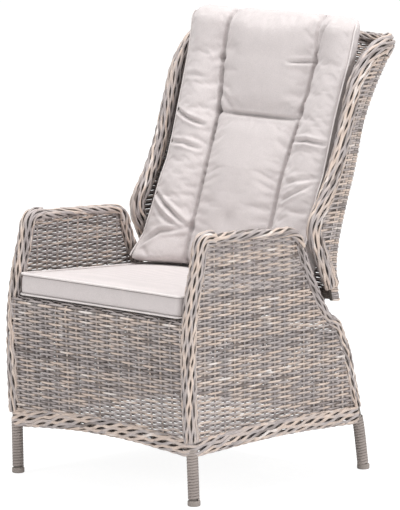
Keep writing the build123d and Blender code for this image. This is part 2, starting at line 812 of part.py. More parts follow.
# Back cushion, level cuts from its bottom to its top. Each cut has its height, how
# far its rear stands off the weave, and its thickness at the creases and the ears.
back_cushion_foot = hinge_y - back_foot_reach
back_cushion_bottom = seat_top - seat_drop(back_cushion_foot) + soft_gap
back_cushion_height = chair_height - back_cushion_bottom
rear_clearance = weave_thickness / 2 + fit_gap + cross_bar_thickness + weave_slack
cushion_shares = [
    (0.000, 0.06, 0.80, 1.70, 0.97),
    (0.025, 0.00, 0.95, 2.00, 1.00),
    (0.060, 0.00, 0.86, 1.72, 1.00),
    (0.112, 0.00, 0.66, 1.28, 1.00),
    (0.221, 0.00, 0.52, 1.10, 1.00),
    (0.337, 0.00, 0.50, 0.98, 1.00),
    (0.443, 0.00, 0.48, 0.90, 1.00),
    (0.566, 0.00, 0.46, 0.88, 1.00),
    (0.593, 0.00, 0.32, 0.78, 0.99),
    (0.619, 0.00, 0.46, 0.92, 1.00),
    (0.741, 0.00, 0.52, 1.02, 1.00),
    (0.818, 0.02, 0.75, 1.25, 1.00),
    (0.917, 0.55, 1.00, 1.08, 1.00),
    (0.964, 0.85, 0.85, 0.90, 0.98),
    (1.000, 1.05, 0.50, 0.50, 0.94),
]
back_cushion_width = 2 * (back_tube_x - wing_braid_width / 2 - back_side_gap)
cushion_cuts = []
for height_share, stand_share, crease_share, edge_share, width_share in cushion_shares:
    height = back_cushion_bottom + back_cushion_height * height_share
    rear_y = back_weave_y(height) - rear_clearance - back_cushion_thickness * stand_share
    cushion_cuts.append(back_cushion_section(
        height,
        rear_y,
        back_cushion_thickness * crease_share,
        back_cushion_thickness * edge_share,
        back_cushion_width / 2 * width_share,
    ))
save("back_cushion", loft(cushion_cuts, ruled=True))


def strap(start, end, width, thickness, x):
    """Flat strap with round ends between two (y, z) points, its inner face at x."""
    first = Vector(x, *start)
    last = Vector(x, *end)
    plane = Plane(origin=between(first, last, half_share), x_dir=last - first, z_dir=(1, 0, 0))
    return extrude(plane * SlotCenterToCenter((last - first).length, width), amount=thickness)


# Recline hinge: strap on the rear rail, strap on the back's bottom rail, bush, bolt, nut
hinge = (hinge_y, hinge_height)
bracket_inner = hinge_bracket_x
bracket_outer = hinge_bracket_x + hinge_plate_thickness
plate_outer = bracket_inner - hinge_washer_gap
plate_inner = plate_outer - hinge_plate_thickness
flange_reach = hinge_washer_gap - 2 * running_gap
bolt_hole_radius = hinge_bolt_radius + running_gap
strap_drop = tube_radius - hinge_washer_gap
bracket_foot = (rear_rail_y, rear_rail_height - strap_drop)
plate_foot = (bottom_rail_y, bottom_rail_height - strap_drop)
bracket = strap(bracket_foot, hinge, hinge_plate_width, hinge_plate_thickness, bracket_inner)
bracket = bracket - rear_rail_core - pin_x(*hinge, bolt_hole_radius, 0, half_width)
bracket = bracket.solids().sort_by(SortBy.VOLUME)[-1]
bottom_rail_core = cross_bar(bottom_rail_y, bottom_rail_height, back_half, tube_radius)
plate = strap(plate_foot, hinge, hinge_plate_width, hinge_plate_thickness, plate_inner)
plate = plate - bottom_rail_core - pin_x(*hinge, hinge_bush_radius + running_gap, 0, half_width)
plate = plate.solids().sort_by(SortBy.VOLUME)[-1]
bush = pin_x(*hinge, hinge_bush_radius, plate_inner, plate_outer)
bush = bush + pin_x(*hinge, bolt_head_radius, plate_outer, plate_outer + flange_reach)
bush = bush - pin_x(*hinge, bolt_hole_radius, 0, half_width)
nut_outer = plate_inner - hinge_washer_gap
nut_inner = nut_outer - nut_thickness
bolt = pin_x(*hinge, hinge_bolt_radius, nut_inner - hinge_washer_gap, bracket_outer)
bolt = bolt + pin_x(*hinge, bolt_head_radius, bracket_outer, bracket_outer + bolt_head_thickness)
nut_plane = Plane(origin=(nut_inner, *hinge), x_dir=(0, 1, 0), z_dir=(1, 0, 0))
nut = extrude(nut_plane * RegularPolygon(nut_across_flats / 2, 6, major_radius=False), amount=nut_thickness)
nut = nut - pin_x(*hinge, hinge_bolt_radius, 0, half_width)


def pair(shape):
    return Compound(children=[shape.solids()[0], mirror(shape, about=Plane.YZ).solids()[0]])


save("hinge_brackets", pair(bracket))
save("hinge_plates", pair(plate))
save("hinge_bushes", pair(bush))
save("hinge_bolts", pair(bolt))
save("hinge_nuts", pair(nut))

# Gas spring between the cross tube and the back, with its brackets and pins
front_pin = (spring_front_y, spring_height)
rear_pin = (hinge_y, spring_height)
cheek_inner = spring_eye_width / 2 + spring_cheek_gap
cheek_outer = cheek_inner + spring_cheek_thickness
pin_reach = cheek_outer + spring_pin_overhang
pin_hole_radius = spring_pin_radius + running_gap


def clevis(start, end):
    """Two cheeks side by side on a cross tube, with a pin hole at their ends."""
    cheek = strap(start, end, spring_cheek_width, spring_cheek_thickness, cheek_inner)
    cheek = cheek - pin_x(*end, pin_hole_radius, -half_width, half_width)
    cheek = cheek - cross_bar(*start, half_width, tube_radius)
    cheek = cheek.solids().sort_by(SortBy.VOLUME)[-1]
    return [cheek, mirror(cheek, about=Plane.YZ).solids()[0]]


# The front clevis carries the stop that the release cable ends in
cable_end_x = cheek_outer + cable_stop_radius - fit_gap
cable_end_y = spring_tube_y + fit_gap
cable_end_height = spring_height + valve_arm_length
spring_cheeks = clevis((spring_tube_y, spring_tube_height), front_pin)
end_stop = Pos(cable_end_x, cable_end_y + cable_stop_length / 2, cable_end_height) * Cylinder(
    cable_stop_radius, cable_stop_length, rotation=(90, 0, 0)
)
spring_cheeks[0] = (spring_cheeks[0] + end_stop).solids()[0]
save("spring_bracket", Compound(children=spring_cheeks))
save("spring_clevis", Compound(children=clevis((bottom_rail_y, bottom_rail_height), rear_pin)))
save("spring_front_pin", pin_x(*front_pin, spring_pin_radius, -pin_reach, pin_reach))
save("spring_rear_pin", pin_x(*rear_pin, spring_pin_radius, -pin_reach, pin_reach))


def bar_y(x, height, radius, start_y, end_y):
    """Round bar along Y between two positions."""
    middle = (start_y + end_y) / 2
    return Pos(x, middle, height) * Cylinder(radius, abs(end_y - start_y), rotation=(90, 0, 0))


head_front_y = spring_front_y + spring_cheek_width / 2 + spring_cheek_gap
head_rear_y = spring_front_y + head_length
head = Pos(0, (head_front_y + head_rear_y) / 2, spring_height) * Box(
    head_width, head_rear_y - head_front_y, head_width
)
head_edge = spring_cheek_thickness / 2
head = fillet(head.edges().filter_by(Axis.Y), head_edge)
eye = pin_x(*front_pin, spring_eye_radius, -spring_eye_width / 2, spring_eye_width / 2)
neck = Pos(0, (spring_front_y + head_front_y) / 2, spring_height) * Box(
    spring_eye_width, head_front_y - spring_front_y, spring_cheek_width
)
valve_y = (head_front_y + head_rear_y) / 2
valve = (valve_y, spring_height)
valve_pin_end = cable_end_x + valve_arm_thickness
head = head + eye + neck + pin_x(*valve, valve_pin_radius, 0, valve_pin_end)
head = head - pin_x(*front_pin, pin_hole_radius, -half_width, half_width)
rod_seat_y = head_rear_y - rod_seat_depth
head = head - bar_y(0, spring_height, spring_rod_radius, rod_seat_y, head_rear_y)
save("release_head", head)

valve_top = (valve_y, spring_height + valve_arm_length)
valve_inner = cable_end_x - valve_arm_thickness / 2
valve_arm = strap(valve, valve_top, valve_arm_height, valve_arm_thickness, valve_inner)
valve_arm = valve_arm - pin_x(*valve, valve_pin_radius + running_gap, 0, half_width)
save("valve_arm", valve_arm)

spring_tube_end = hinge_y - spring_eye_radius - spring_cheek_gap
spring_tube_start = spring_tube_end - spring_tube_length
rod_end = spring_tube_start + rod_start_depth
piston_radius = spring_tube_radius - tube_wall - fit_gap
piston_length = spring_rod_radius
gas_rod = bar_y(0, spring_height, spring_rod_radius, rod_seat_y, rod_end)
piston = bar_y(0, spring_height, piston_radius, rod_end, rod_end + piston_length)
save("gas_rod", gas_rod + piston)

chamber_start = spring_tube_start + spring_eye_width
chamber_end = spring_tube_end - spring_eye_width
cylinder = bar_y(0, spring_height, spring_tube_radius, spring_tube_start, spring_tube_end)
cylinder = cylinder - bar_y(0, spring_height, spring_tube_radius - tube_wall, chamber_start, chamber_end)
rod_hole_radius = spring_rod_radius + running_gap
cylinder = cylinder - bar_y(0, spring_height, rod_hole_radius, spring_tube_start, chamber_start)
rear_eye = pin_x(*rear_pin, spring_eye_radius, -spring_eye_width / 2, spring_eye_width / 2)
tongue = Pos(0, (spring_tube_end + hinge_y) / 2, spring_height) * Box(
    spring_eye_width, hinge_y - spring_tube_end, spring_rod_radius * 2
)
cylinder = cylinder + rear_eye + tongue
cylinder = cylinder - pin_x(*rear_pin, spring_pin_radius + spring_pin_play, -half_width, half_width)
save("gas_cylinder", cylinder)

# Release lever on the sitter's right, its bracket and the cable under the seat
lever = (lever_y, lever_height)
crank_x = side_rail_x - tube_radius - cable_stop_radius + fit_gap
handle_inner = side_plate_low + hinge_washer_gap
handle_outer = handle_inner + lever_thickness
handle = strap(lever, (lever_y - lever_length, lever_height), lever_width, lever_thickness, handle_inner)
handle = fillet(handle.faces().sort_by(Axis.X)[-1].edges(), lever_edge)
crank_inner = crank_x - crank_thickness / 2
crank = strap(lever, (lever_y, lever_height + crank_length), crank_width, crank_thickness, crank_inner)
release_lever = handle + crank + pin_x(*lever, lever_shaft_radius, crank_inner, handle_outer)
save("release_lever", mirror(release_lever, about=Plane.YZ))

lever_plate_bottom = lever_height - lever_plate_width / 2
plate_height = rail_height - seat_drop(lever_y) - lever_plate_bottom
lever_plate = Pos(side_rail_x, lever_y, lever_plate_bottom) * Box(
    lever_plate_thickness, lever_plate_width, plate_height,
    align=(Align.CENTER, Align.CENTER, Align.MIN),
)
lever_plate = lever_plate - side_rail_core["left"]
lever_plate = lever_plate - pin_x(*lever, lever_shaft_radius + running_gap, 0, half_width)
lever_plate = lever_plate.solids().sort_by(SortBy.VOLUME)[-1]
stop_rear_y = lever_y - crank_width - cable_stop_length
stop_front_y = stop_rear_y - cable_stop_length
stop_height = lever_height + crank_length
start_stop = bar_y(crank_x, stop_height, cable_stop_radius, stop_front_y, stop_rear_y)
start_stop = start_stop - side_rail_core["left"]
start_stop = start_stop.solids().sort_by(SortBy.VOLUME)[-1]
release_bracket = Compound(children=[lever_plate, start_stop])
save("release_bracket", mirror(release_bracket, about=Plane.YZ))

# The cable leaves the crank along the side rail, swings behind the front rail and
# comes back to the stop on the gas spring's clevis
cable_shares = [
    (-0.794, -0.3791, 0.966),
    (-0.646, -0.4097, 0.939),
    (-0.462, -0.4097, 0.920),
    (-0.295, -0.3817, 0.909),
    (-0.142, -0.3333, 0.902),
    (-0.018, -0.2824, 0.898),
]
cable_points = [
    Vector(-crank_x, stop_front_y, stop_height),
    Vector(-crank_x, stop_front_y - cable_start_run, stop_height),
]
cable_points += low_points(cable_shares)
cable_points += [
    Vector(cable_end_x, cable_end_y - cable_end_run, cable_end_height),
    Vector(cable_end_x, cable_end_y, cable_end_height),
]
cable_path = bent_path(cable_points)
release_cable = sweep(start_plane(cable_path, (0, 0, 1)) * Circle(cable_radius), path=cable_path)
save("release_cable", release_cable)
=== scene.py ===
import json
import math
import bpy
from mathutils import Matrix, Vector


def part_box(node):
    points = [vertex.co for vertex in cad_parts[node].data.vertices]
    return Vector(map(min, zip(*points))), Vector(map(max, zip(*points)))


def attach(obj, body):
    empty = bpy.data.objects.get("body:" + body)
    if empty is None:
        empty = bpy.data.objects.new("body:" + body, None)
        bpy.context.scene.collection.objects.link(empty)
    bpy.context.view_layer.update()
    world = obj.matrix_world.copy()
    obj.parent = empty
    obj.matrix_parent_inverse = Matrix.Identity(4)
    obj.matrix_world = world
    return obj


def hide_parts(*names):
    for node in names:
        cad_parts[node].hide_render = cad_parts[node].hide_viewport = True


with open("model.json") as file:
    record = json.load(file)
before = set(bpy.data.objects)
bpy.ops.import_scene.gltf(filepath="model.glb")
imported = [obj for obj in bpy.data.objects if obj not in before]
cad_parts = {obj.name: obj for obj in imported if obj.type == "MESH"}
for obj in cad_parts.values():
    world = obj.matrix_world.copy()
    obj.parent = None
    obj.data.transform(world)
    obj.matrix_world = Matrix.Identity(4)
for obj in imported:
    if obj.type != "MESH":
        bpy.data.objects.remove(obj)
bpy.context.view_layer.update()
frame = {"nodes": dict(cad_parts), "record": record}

from types import SimpleNamespace

import bmesh
import bpy
import numpy as np
from mathutils import Matrix, Vector

# Sizes of the chair, in metres, and the seat's slope
chair_width = 0.650
chair_depth = 0.786
chair_height = 1.147
arm_height = 0.667
rail_height = 0.440
hinge_height = 0.425
arm_braid_height = 0.026
top_braid_radius = 0.016
wing_braid_width = 0.034
tube_radius = 0.011
weave_thickness = 0.006
seat_slope = math.radians(3.3)

half_width = chair_width / 2
arm_centre_height = arm_height - arm_braid_height / 2
back_tube_x = half_width - wing_braid_width / 2
SIDES = (("left", 1), ("right", -1))


# The camera, worked out from the photograph's perspective
def make_camera():
    photo_width, photo_height = 400, 510
    focal_pixels = 4720
    centre_x, centre_y = 203.7, 254.7
    spot = (8.132, -8.549, 2.377)
    yaw, pitch, roll = (math.radians(angle) for angle in (43.57, -8.81, -0.28))
    data = bpy.data.cameras.new("camera")
    data.sensor_fit = "AUTO"
    data.lens = focal_pixels * data.sensor_width / photo_height
    data.shift_x = (photo_width / 2 - centre_x) / photo_height
    data.shift_y = (centre_y - photo_height / 2) / photo_height
    data.clip_end = 100
    camera = bpy.data.objects.new("camera", data)
    bpy.context.scene.collection.objects.link(camera)
    turn = Matrix.Rotation(yaw, 4, "Z") @ Matrix.Rotation(math.pi / 2 + pitch, 4, "X")
    turn = turn @ Matrix.Rotation(roll, 4, "Z")
    camera.matrix_world = Matrix.Translation(spot) @ turn
    bpy.context.scene.camera = camera


make_camera()


# Node graphs: a wire stands for a socket, so that sums are written as sums
class Wire:
    """A node's output socket. Each sign in a sum adds a Math node."""

    def __init__(self, graph, socket):
        self.graph = graph
        self.socket = socket

    def __add__(self, other):
        return self.graph.maths("ADD", self, other)

    def __radd__(self, other):
        return self.graph.maths("ADD", other, self)

    def __sub__(self, other):
        return self.graph.maths("SUBTRACT", self, other)

    def __mul__(self, other):
        return self.graph.maths("MULTIPLY", self, other)

    def __rmul__(self, other):
        return self.graph.maths("MULTIPLY", other, self)

    def __truediv__(self, other):
        return self.graph.maths("DIVIDE", self, other)


class Graph:
    """Adds nodes to a material or to a geometry tree."""

    def __init__(self, tree):
        self.tree = tree

    def add(self, kind, settings=None, values=None, out=0):
        node = self.tree.nodes.new(kind)
        for name, value in (settings or {}).items():
            if name == "stops":
                self.set_stops(node.color_ramp, value)
            else:
                setattr(node, name, value)
        for name, value in (values or {}).items():
            self.feed(node.inputs[name], value)
        return Wire(self, node.outputs[out])

    def step(self, kind, settings=None, **values):
        """A geometry node, with its inputs' names written as keywords."""
        values = {label.replace("_", " ").title(): value for label, value in values.items()}
        return self.add(f"GeometryNode{kind}", settings, values)

    def feed(self, socket, value):
        if isinstance(value, Wire):
            self.tree.links.new(value.socket, socket)
        elif isinstance(value, (tuple, list)) and socket.type == "RGBA" and len(value) == 3:
            socket.default_value = (*value, 1)
        else:
            socket.default_value = value

    def set_stops(self, ramp, stops):
        while len(ramp.elements) < len(stops):
            ramp.elements.new(1)
        for element, (place, colour) in zip(ramp.elements, stops):
            element.position = place
            element.color = (*colour, 1)

    def maths(self, operation, first, second=None):
        values = {0: first} if second is None else {0: first, 1: second}
        return self.add("ShaderNodeMath", {"operation": operation}, values)

    def vector(self, operation, first, second=None):
        values = {0: first}
        if second is not None:
            values[3 if operation == "SCALE" else 1] = second
        return self.add("ShaderNodeVectorMath", {"operation": operation}, values)

    def triple(self, x, y, z):
        return self.add("ShaderNodeCombineXYZ", {}, {0: x, 1: y, 2: z})

    def noise(self, place, scale, detail, out=0):
        values = {"Vector": place, "Scale": scale, "Detail": detail}
        return self.add("ShaderNodeTexNoise", {}, values, out)

    def attribute(self, name):
        return self.add("ShaderNodeAttribute", {"attribute_name": name}, out=2)

    def ramp(self, place, stops):
        return self.add("ShaderNodeValToRGB", {"stops": stops}, {0: place})

    def greys(self, place, stops):
        """A ramp of plain greys, for shading a colour."""
        return self.ramp(place, [(at, (level, level, level)) for at, level in stops])

    def shaded(self, colour, shade):
        settings = {"data_type": "RGBA", "blend_type": "MULTIPLY"}
        return self.add("ShaderNodeMix", settings, {0: 1.0, 6: colour, 7: shade}, 2)

    def finish(self, shader, colour, roughness, strength, distance, height):
        """Feeds a shader with its colour, its roughness and a fine relief."""
        values = {"Strength": strength, "Distance": distance, "Height": height}
        normal = self.add("ShaderNodeBump", {}, values)
        for name, value in (("Base Color", colour), ("Roughness", roughness), ("Normal", normal)):
            self.feed(shader.inputs[name], value)


def srgb(red, green, blue):
    """Linear colour from the 0 to 255 values that a picture shows."""
    return tuple(((value / 255 + 0.055) / 1.055) ** 2.4 for value in (red, green, blue))


# Materials
def new_material(name, levels):
    """A material, its graph and its shader, with some of the shader's levels set."""
    material = bpy.data.materials.new(name)
    material.use_nodes = True
    shader = material.node_tree.nodes["Principled BSDF"]
    for label, level in levels.items():
        shader.inputs[label].default_value = level
    return material, Graph(material.node_tree), shader


def wicker_material(name, stops, streak_share=0.16):
    """Resin strand: its own tone, drift and streaks, with painted shade at its sides and where it dives
    under.
    """
    material, graph, shader = new_material(name, {"Specular IOR Level": 0.4})
    tone, along, facing, depth = (
        graph.attribute(field) for field in ("tone", "along", "facing", "depth")
    )
    drift_pace, streak_pace, streaks_across = 13, 24, 4
    drift_spread, streak_spread = 61, 83
    own_share, drift_share = 0.66, 1.7
    drift = graph.noise(graph.triple(along * drift_pace, tone * drift_spread, 0), 1, 2)
    streak_place = graph.triple(along * streak_pace, facing * streaks_across, tone * streak_spread)
    streak = graph.noise(streak_place, 1, 3)
    tint = tone * own_share + (drift - 0.5) * drift_share + (1 - own_share) / 2
    streaks = graph.greys(streak, [(0.3, 1 - streak_share), (0.7, 1.0)])
    # Painted shade: the strand's face darkens where it dives under its neighbours.
    painted_hollow_stops = [(0.0, 0.20), (0.25, 0.46), (0.46, 0.90), (0.64, 1.0)]
    painted_hollow_shade = graph.greys(facing * depth * 0.5 + 0.5, painted_hollow_stops)
    # Painted shade: each strand is darker along its sides, in the gaps between strands.
    painted_flank_shade = graph.greys(graph.maths("ABSOLUTE", facing), [(0.0, 0.46), (0.4, 0.86), (0.8, 1.0)])
    colour = graph.ramp(tint, stops)
    for shade in (streaks, painted_hollow_shade, painted_flank_shade):
        colour = graph.shaded(colour, shade)
    graph.finish(shader, colour, 0.38 + streak * 0.2, 0.35, 0.0006, streak)
    return material


wicker_stops = [
    (0.00, srgb(124, 113, 108)),
    (0.20, srgb(158, 149, 147)),
    (0.42, srgb(178, 169, 167)),
    (0.60, srgb(194, 180, 172)),
    (0.76, srgb(206, 187, 174)),
    (0.90, srgb(216, 200, 189)),
    (1.00, srgb(226, 217, 212)),
]
wrap_stops = [
    (0.0, srgb(146, 136, 131)),
    (0.5, srgb(166, 155, 149)),
    (1.0, srgb(184, 172, 165)),
]
# Dark core colours: painted shade seen through the gaps of each braid.
shade_core_stops = [
    (0.0, srgb(66, 57, 53)),
    (1.0, srgb(92, 81, 76)),
]
wicker = wicker_material("wicker", wicker_stops)
wrap_wicker = wicker_material("wrap_wicker", wrap_stops, 0.1)
core_wicker = wicker_material("core_wicker", shade_core_stops, 0.2)


def tints(colour, shares):
    """A colour made darker or paler by some shares."""
    return [tuple(min(1.0, channel * share) for channel in colour) for share in shares]


def fabric_material(name, colour):
    """Fine plain-weave cloth: threads both ways, slight slubs and soft mottling, with painted shade in
    its creases.
    """
    material, graph, shader = new_material(name, {"Sheen Weight": 0.2, "Specular IOR Level": 0.2})
    thread_scale, slub_scale, mottle_scale = 170, 420, 26
    place = graph.add("ShaderNodeTexCoord", {}, out=3)
    threads_across, threads_up = (
        graph.add(
            "ShaderNodeTexWave", {"wave_type": "BANDS", "bands_direction": way},
            {"Vector": place, "Scale": thread_scale, "Distortion": 1.2, "Detail": 1},
        )
        for way in ("X", "Z")
    )
    slub = graph.noise(place, slub_scale, 2)
    mottle = graph.noise(place, mottle_scale, 3)
    weave = threads_across * threads_up
    darker, paler = tints(colour, (0.84, 1.08))
    cloth = graph.ramp(0.55 * slub + 0.25 * weave + 0.2 * mottle, [(0.25, darker), (0.7, paler)])
    # Painted shade: darker along pressed creases, seams and tufts.
    fold = graph.greys(graph.attribute("fold"), [(0.0, 1.0), (0.45, 0.80), (1.0, 0.36)])
    relief = weave + slub * 0.6
    graph.finish(shader, graph.shaded(cloth, fold), 0.82 + slub * 0.12, 0.25, 0.0005, relief)
    return material


cushion_fabric = fabric_material("cushion_fabric", srgb(209, 201, 200))
piping_fabric = fabric_material("piping_fabric", srgb(228, 221, 219))
# Dark grey cord: painted shade along the seat cushion's seams.
seam_thread = fabric_material("seam_thread", srgb(150, 143, 141))


def coated_material(name, colour, roughness, metallic, grain_scale, grain_depth):
    """Metal or moulded part with a fine even grain and faint rubbed patches."""
    material, graph, shader = new_material(name, {"Metallic": metallic})
    patch_scale = 18
    place = graph.add("ShaderNodeTexCoord", {}, out=3)
    grain = graph.noise(place, grain_scale, 2)
    patch = graph.noise(place, patch_scale, 4)
    darker, paler = tints(srgb(*colour), (0.82, 1.15))
    coat = graph.ramp(0.5 * grain + 0.5 * patch, [(0.3, darker), (0.7, paler)])
    graph.finish(shader, coat, roughness + (patch - 0.5) * 0.25, 0.3, grain_depth, grain)
    return material


# Each finish's colour, roughness, share of metal, and its grain's scale and depth
finish_rows = {
    "frame_metal": ((104, 97, 91), 0.5, 0.0, 900, 0.0002),
    "rubber_foot": ((146, 137, 131), 0.6, 0.0, 500, 0.0003),
    "zinc_steel": ((186, 188, 190), 0.35, 1.0, 700, 0.0001),
    "black_steel": ((42, 42, 43), 0.45, 0.0, 800, 0.0002),
    "bright_rod": ((215, 216, 218), 0.12, 1.0, 300, 0.00005),
    "nylon": ((38, 38, 40), 0.55, 0.0, 650, 0.0002),
    "cable_jacket": ((30, 30, 32), 0.5, 0.0, 400, 0.0001),
}
finishes = {name: coated_material(name, *row) for name, row in finish_rows.items()}
slot_of = {row["node"]: row["material_slot"] for row in frame["record"]["subparts"]}
for node, piece in frame["nodes"].items():
    finish = finishes.get(slot_of[node])
    if finish:
        piece.data.materials.clear()
        piece.data.materials.append(finish)


# Geometry trees: strands that follow rows, and strands that wind round a path
def keyword(label):
    return label.lower().replace(" ", "_")


def new_tree(name, inputs):
    """An empty geometry tree with named inputs, as a graph and the wires of its inputs."""
    tree = bpy.data.node_groups.new(name, "GeometryNodeTree")
    for kind, labels in {"Geometry": ["Geometry"], **inputs}.items():
        for label in labels:
            tree.interface.new_socket(label, in_out="INPUT", socket_type=f"NodeSocket{kind}")
    tree.interface.new_socket("Geometry", in_out="OUTPUT", socket_type="NodeSocketGeometry")
    graph = Graph(tree)
    entry = tree.nodes.new("NodeGroupInput")
    sockets = {keyword(socket.name): socket for socket in entry.outputs if socket.name}
    wires = SimpleNamespace(**{name: Wire(graph, socket) for name, socket in sockets.items()})
    return tree, graph, wires


def named(graph, name, kind="FLOAT"):
    return graph.step("InputNamedAttribute", {"data_type": kind}, name=name)


def keep(graph, geometry, name, value, kind="FLOAT"):
    settings = {"data_type": kind, "domain": "POINT"}
    return graph.step("StoreNamedAttribute", settings, geometry=geometry, name=name, value=value)


def sweep_strands(graph, wires, curve, outward, girth=1.0):
    """Sweeps a flat oval along the strands, its thin way outwards, and closes the tree."""
    curve = graph.step("SetCurveNormal", {"mode": "FREE"}, curve=curve, normal=outward)
    ring = graph.step("CurvePrimitiveCircle", {"mode": "RADIUS"}, resolution=wires.sides, radius=0.5)
    facing = graph.maths("COSINE", graph.step("SplineParameter") * (2 * math.pi))
    ring = keep(graph, ring, "facing", facing)
    size = graph.triple(wires.strand_thickness, wires.strand_width, 1)
    ring = graph.step("Transform", geometry=ring, scale=size)
    strands = graph.step("CurveToMesh", curve=curve, profile_curve=ring, scale=girth, fill_caps=True)
    strands = graph.step("SetShadeSmooth", geometry=strands)
    strands = graph.step("RealizeInstances", geometry=strands)
    strands = graph.step("SetMaterial", geometry=strands, material=wires.material)
    leave = graph.tree.nodes.new("NodeGroupOutput")
    graph.feed(leave.inputs["Geometry"], strands)


def keep_tone(graph, wires, curve, number):
    """Each strand's own random tone."""
    values = {"ID": number, "Seed": wires.seed}
    tone = graph.add("FunctionNodeRandomValue", {"data_type": "FLOAT"}, values, 1)
    return keep(graph, curve, "tone", tone)


def wandering(graph, reach, pitch, number):
    """A small slow shift that differs from strand to strand."""
    place = graph.vector("SCALE", graph.step("InputPosition"), 1 / pitch)
    place = graph.vector("ADD", place, graph.triple(number * 3.7, number * 1.9, number * 5.3))
    centred = graph.vector("SUBTRACT", graph.noise(place, 1, 1, 1), (0.5, 0.5, 0.5))
    return graph.vector("SCALE", centred, reach)


def make_row_tree():
    """Strands along given lines, lifted outwards by the depth that each point carries."""
    tree, graph, wires = new_tree("woven_rows", {
        "Float": ("Rise", "Strand Width", "Strand Thickness", "Wander"),
        "Int": ("Sides", "Seed"),
        "Material": ("Material",),
    })
    wander_pitch = 0.03
    number = named(graph, "strand", "INT")
    outward = named(graph, "outward", "FLOAT_VECTOR")
    curve = graph.step("MeshToCurve", mesh=wires.geometry)
    lift = graph.vector("SCALE", outward, named(graph, "depth") * wires.rise)
    shift = graph.vector("ADD", lift, wandering(graph, wires.wander, wander_pitch, number))
    curve = graph.step("SetPosition", geometry=curve, offset=shift)
    curve = keep_tone(graph, wires, curve, number)
    curve = keep(graph, curve, "along", graph.add("GeometryNodeSplineParameter", out=1))
    sweep_strands(graph, wires, curve, outward, named(graph, "girth"))
    return tree


def make_braid_tree():
    """Strands wound round a line. They sway against their neighbours, so that gaps open."""
    tree, graph, wires = new_tree("wound_braid", {
        "Int": ("Strands", "Sides", "Seed"),
        "Float": (
            "Turns Per Metre", "Waves Per Metre", "Half Width", "Half Depth", "Step", "Strand Width",
            "Strand Thickness", "Sway", "Lift", "Wander",
        ),
        "Vector": ("Axis",),
        "Material": ("Material",),
    })
    curve = graph.step("MeshToCurve", mesh=wires.geometry)
    curve = graph.step("ResampleCurve", {"mode": "LENGTH"}, curve=curve, length=wires.step)
    copies = graph.tree.nodes.new("GeometryNodeDuplicateElements")
    copies.domain = "SPLINE"
    graph.feed(copies.inputs["Geometry"], curve)
    graph.feed(copies.inputs["Amount"], wires.strands)
    strand_curves, strand_numbers = (Wire(graph, copies.outputs[index]) for index in (0, 1))
    curve = keep(graph, strand_curves, "number", strand_numbers, "INT")
    number = named(graph, "number", "INT")
    tangent = graph.step("InputTangent")
    side = graph.vector("NORMALIZE", graph.vector("CROSS_PRODUCT", tangent, wires.axis))
    front = graph.vector("CROSS_PRODUCT", side, tangent)
    along = graph.add("GeometryNodeSplineParameter", out=1)
    # Slow noise: its waves for each metre, its change from strand to strand, and its place
    swing, swell = (
        graph.noise(graph.triple(along * pace, number * stray, place + wires.seed), 1, 1) - 0.5
        for pace, stray, place in ((11, 4.1, 0), (16, 6.7, 9))
    )
    full_turn = 2 * math.pi
    lag = 1.6
    beat = along * wires.waves_per_metre + number * 0.5 + swing * 0.5
    sway = graph.maths("SINE", beat * full_turn) * wires.sway
    angle = number / wires.strands + along * wires.turns_per_metre + sway / wires.strands
    angle = angle * full_turn + swing * wires.wander / wires.half_width * 2
    cosine, sine = (graph.maths(wave, angle) for wave in ("COSINE", "SINE"))
    depth = graph.maths("SINE", beat * (2 * full_turn) + number * lag)
    growth = swell * wires.wander + depth * wires.lift
    reach_front = graph.vector("SCALE", front, cosine * (wires.half_width + growth))
    reach_side = graph.vector("SCALE", side, sine * (wires.half_depth + growth))
    face_front = graph.vector("SCALE", front, cosine * wires.half_depth)
    face_side = graph.vector("SCALE", side, sine * wires.half_width)
    outward = graph.vector("NORMALIZE", graph.vector("ADD", face_front, face_side))
    curve = keep(graph, curve, "outward", outward, "FLOAT_VECTOR")
    curve = keep(graph, curve, "along", along)
    # This depth is kept only for the wicker's painted shade where a strand dives under.
    curve = keep(graph, curve, "depth", depth * 0.5 + 0.5)
    shift = graph.vector("ADD", reach_front, reach_side)
    curve = graph.step("SetPosition", geometry=curve, offset=shift)
    curve = keep_tone(graph, wires, curve, number)
    sweep_strands(graph, wires, curve, named(graph, "outward", "FLOAT_VECTOR"))
    return tree


row_tree = make_row_tree()
braid_tree = make_braid_tree()


def plain_mesh(piece):
    """The piece's mesh as its modifiers leave it."""
    graph = bpy.context.evaluated_depsgraph_get()
    result = bpy.data.meshes.new_from_object(piece.evaluated_get(graph))
    piece.modifiers.clear()
    piece.data = result
    return result


def linked(name, data):
    piece = bpy.data.objects.new(name, data)
    bpy.context.scene.collection.objects.link(piece)
    return piece


def grown(name, lines, tree, fields=None, **sizes):
    """A plain mesh piece grown from lines by a geometry tree."""
    piece = linked(name, line_mesh(name, lines, fields or {}))
    grow = piece.modifiers.new("grow", "NODES")
    grow.node_group = tree
    for item in tree.interface.items_tree:
        label = keyword(item.name)
        if item.in_out == "INPUT" and label in sizes:
            grow[item.identifier] = sizes.pop(label)
    assert not sizes, sizes
    plain_mesh(piece)
    return piece


def settle(piece, body, slot, *nodes):
    """The finished piece rides on its body and stands for its nodes."""
    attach(piece, body)
    if nodes:
        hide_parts(*nodes)
    return piece


# Lines: the chair's bent paths, as on its tubes
def low(share):
    return rail_height * share


def high(share):
    """A height between the seat rail and the armrest's middle."""
    return rail_height + (arm_centre_height - rail_height) * share


def up_back(share):
    return hinge_height + (chair_height - hinge_height) * share


def place(x_share, y_share, height):
    """A point at shares of the chair's half width and of its depth."""
    return Vector((half_width * x_share, chair_depth * y_share, height))


def between(start, end, share):
    return start + (end - start) * share


def mirrored(points, side):
    return [Vector((point.x * side, point.y, point.z)) for point in points]


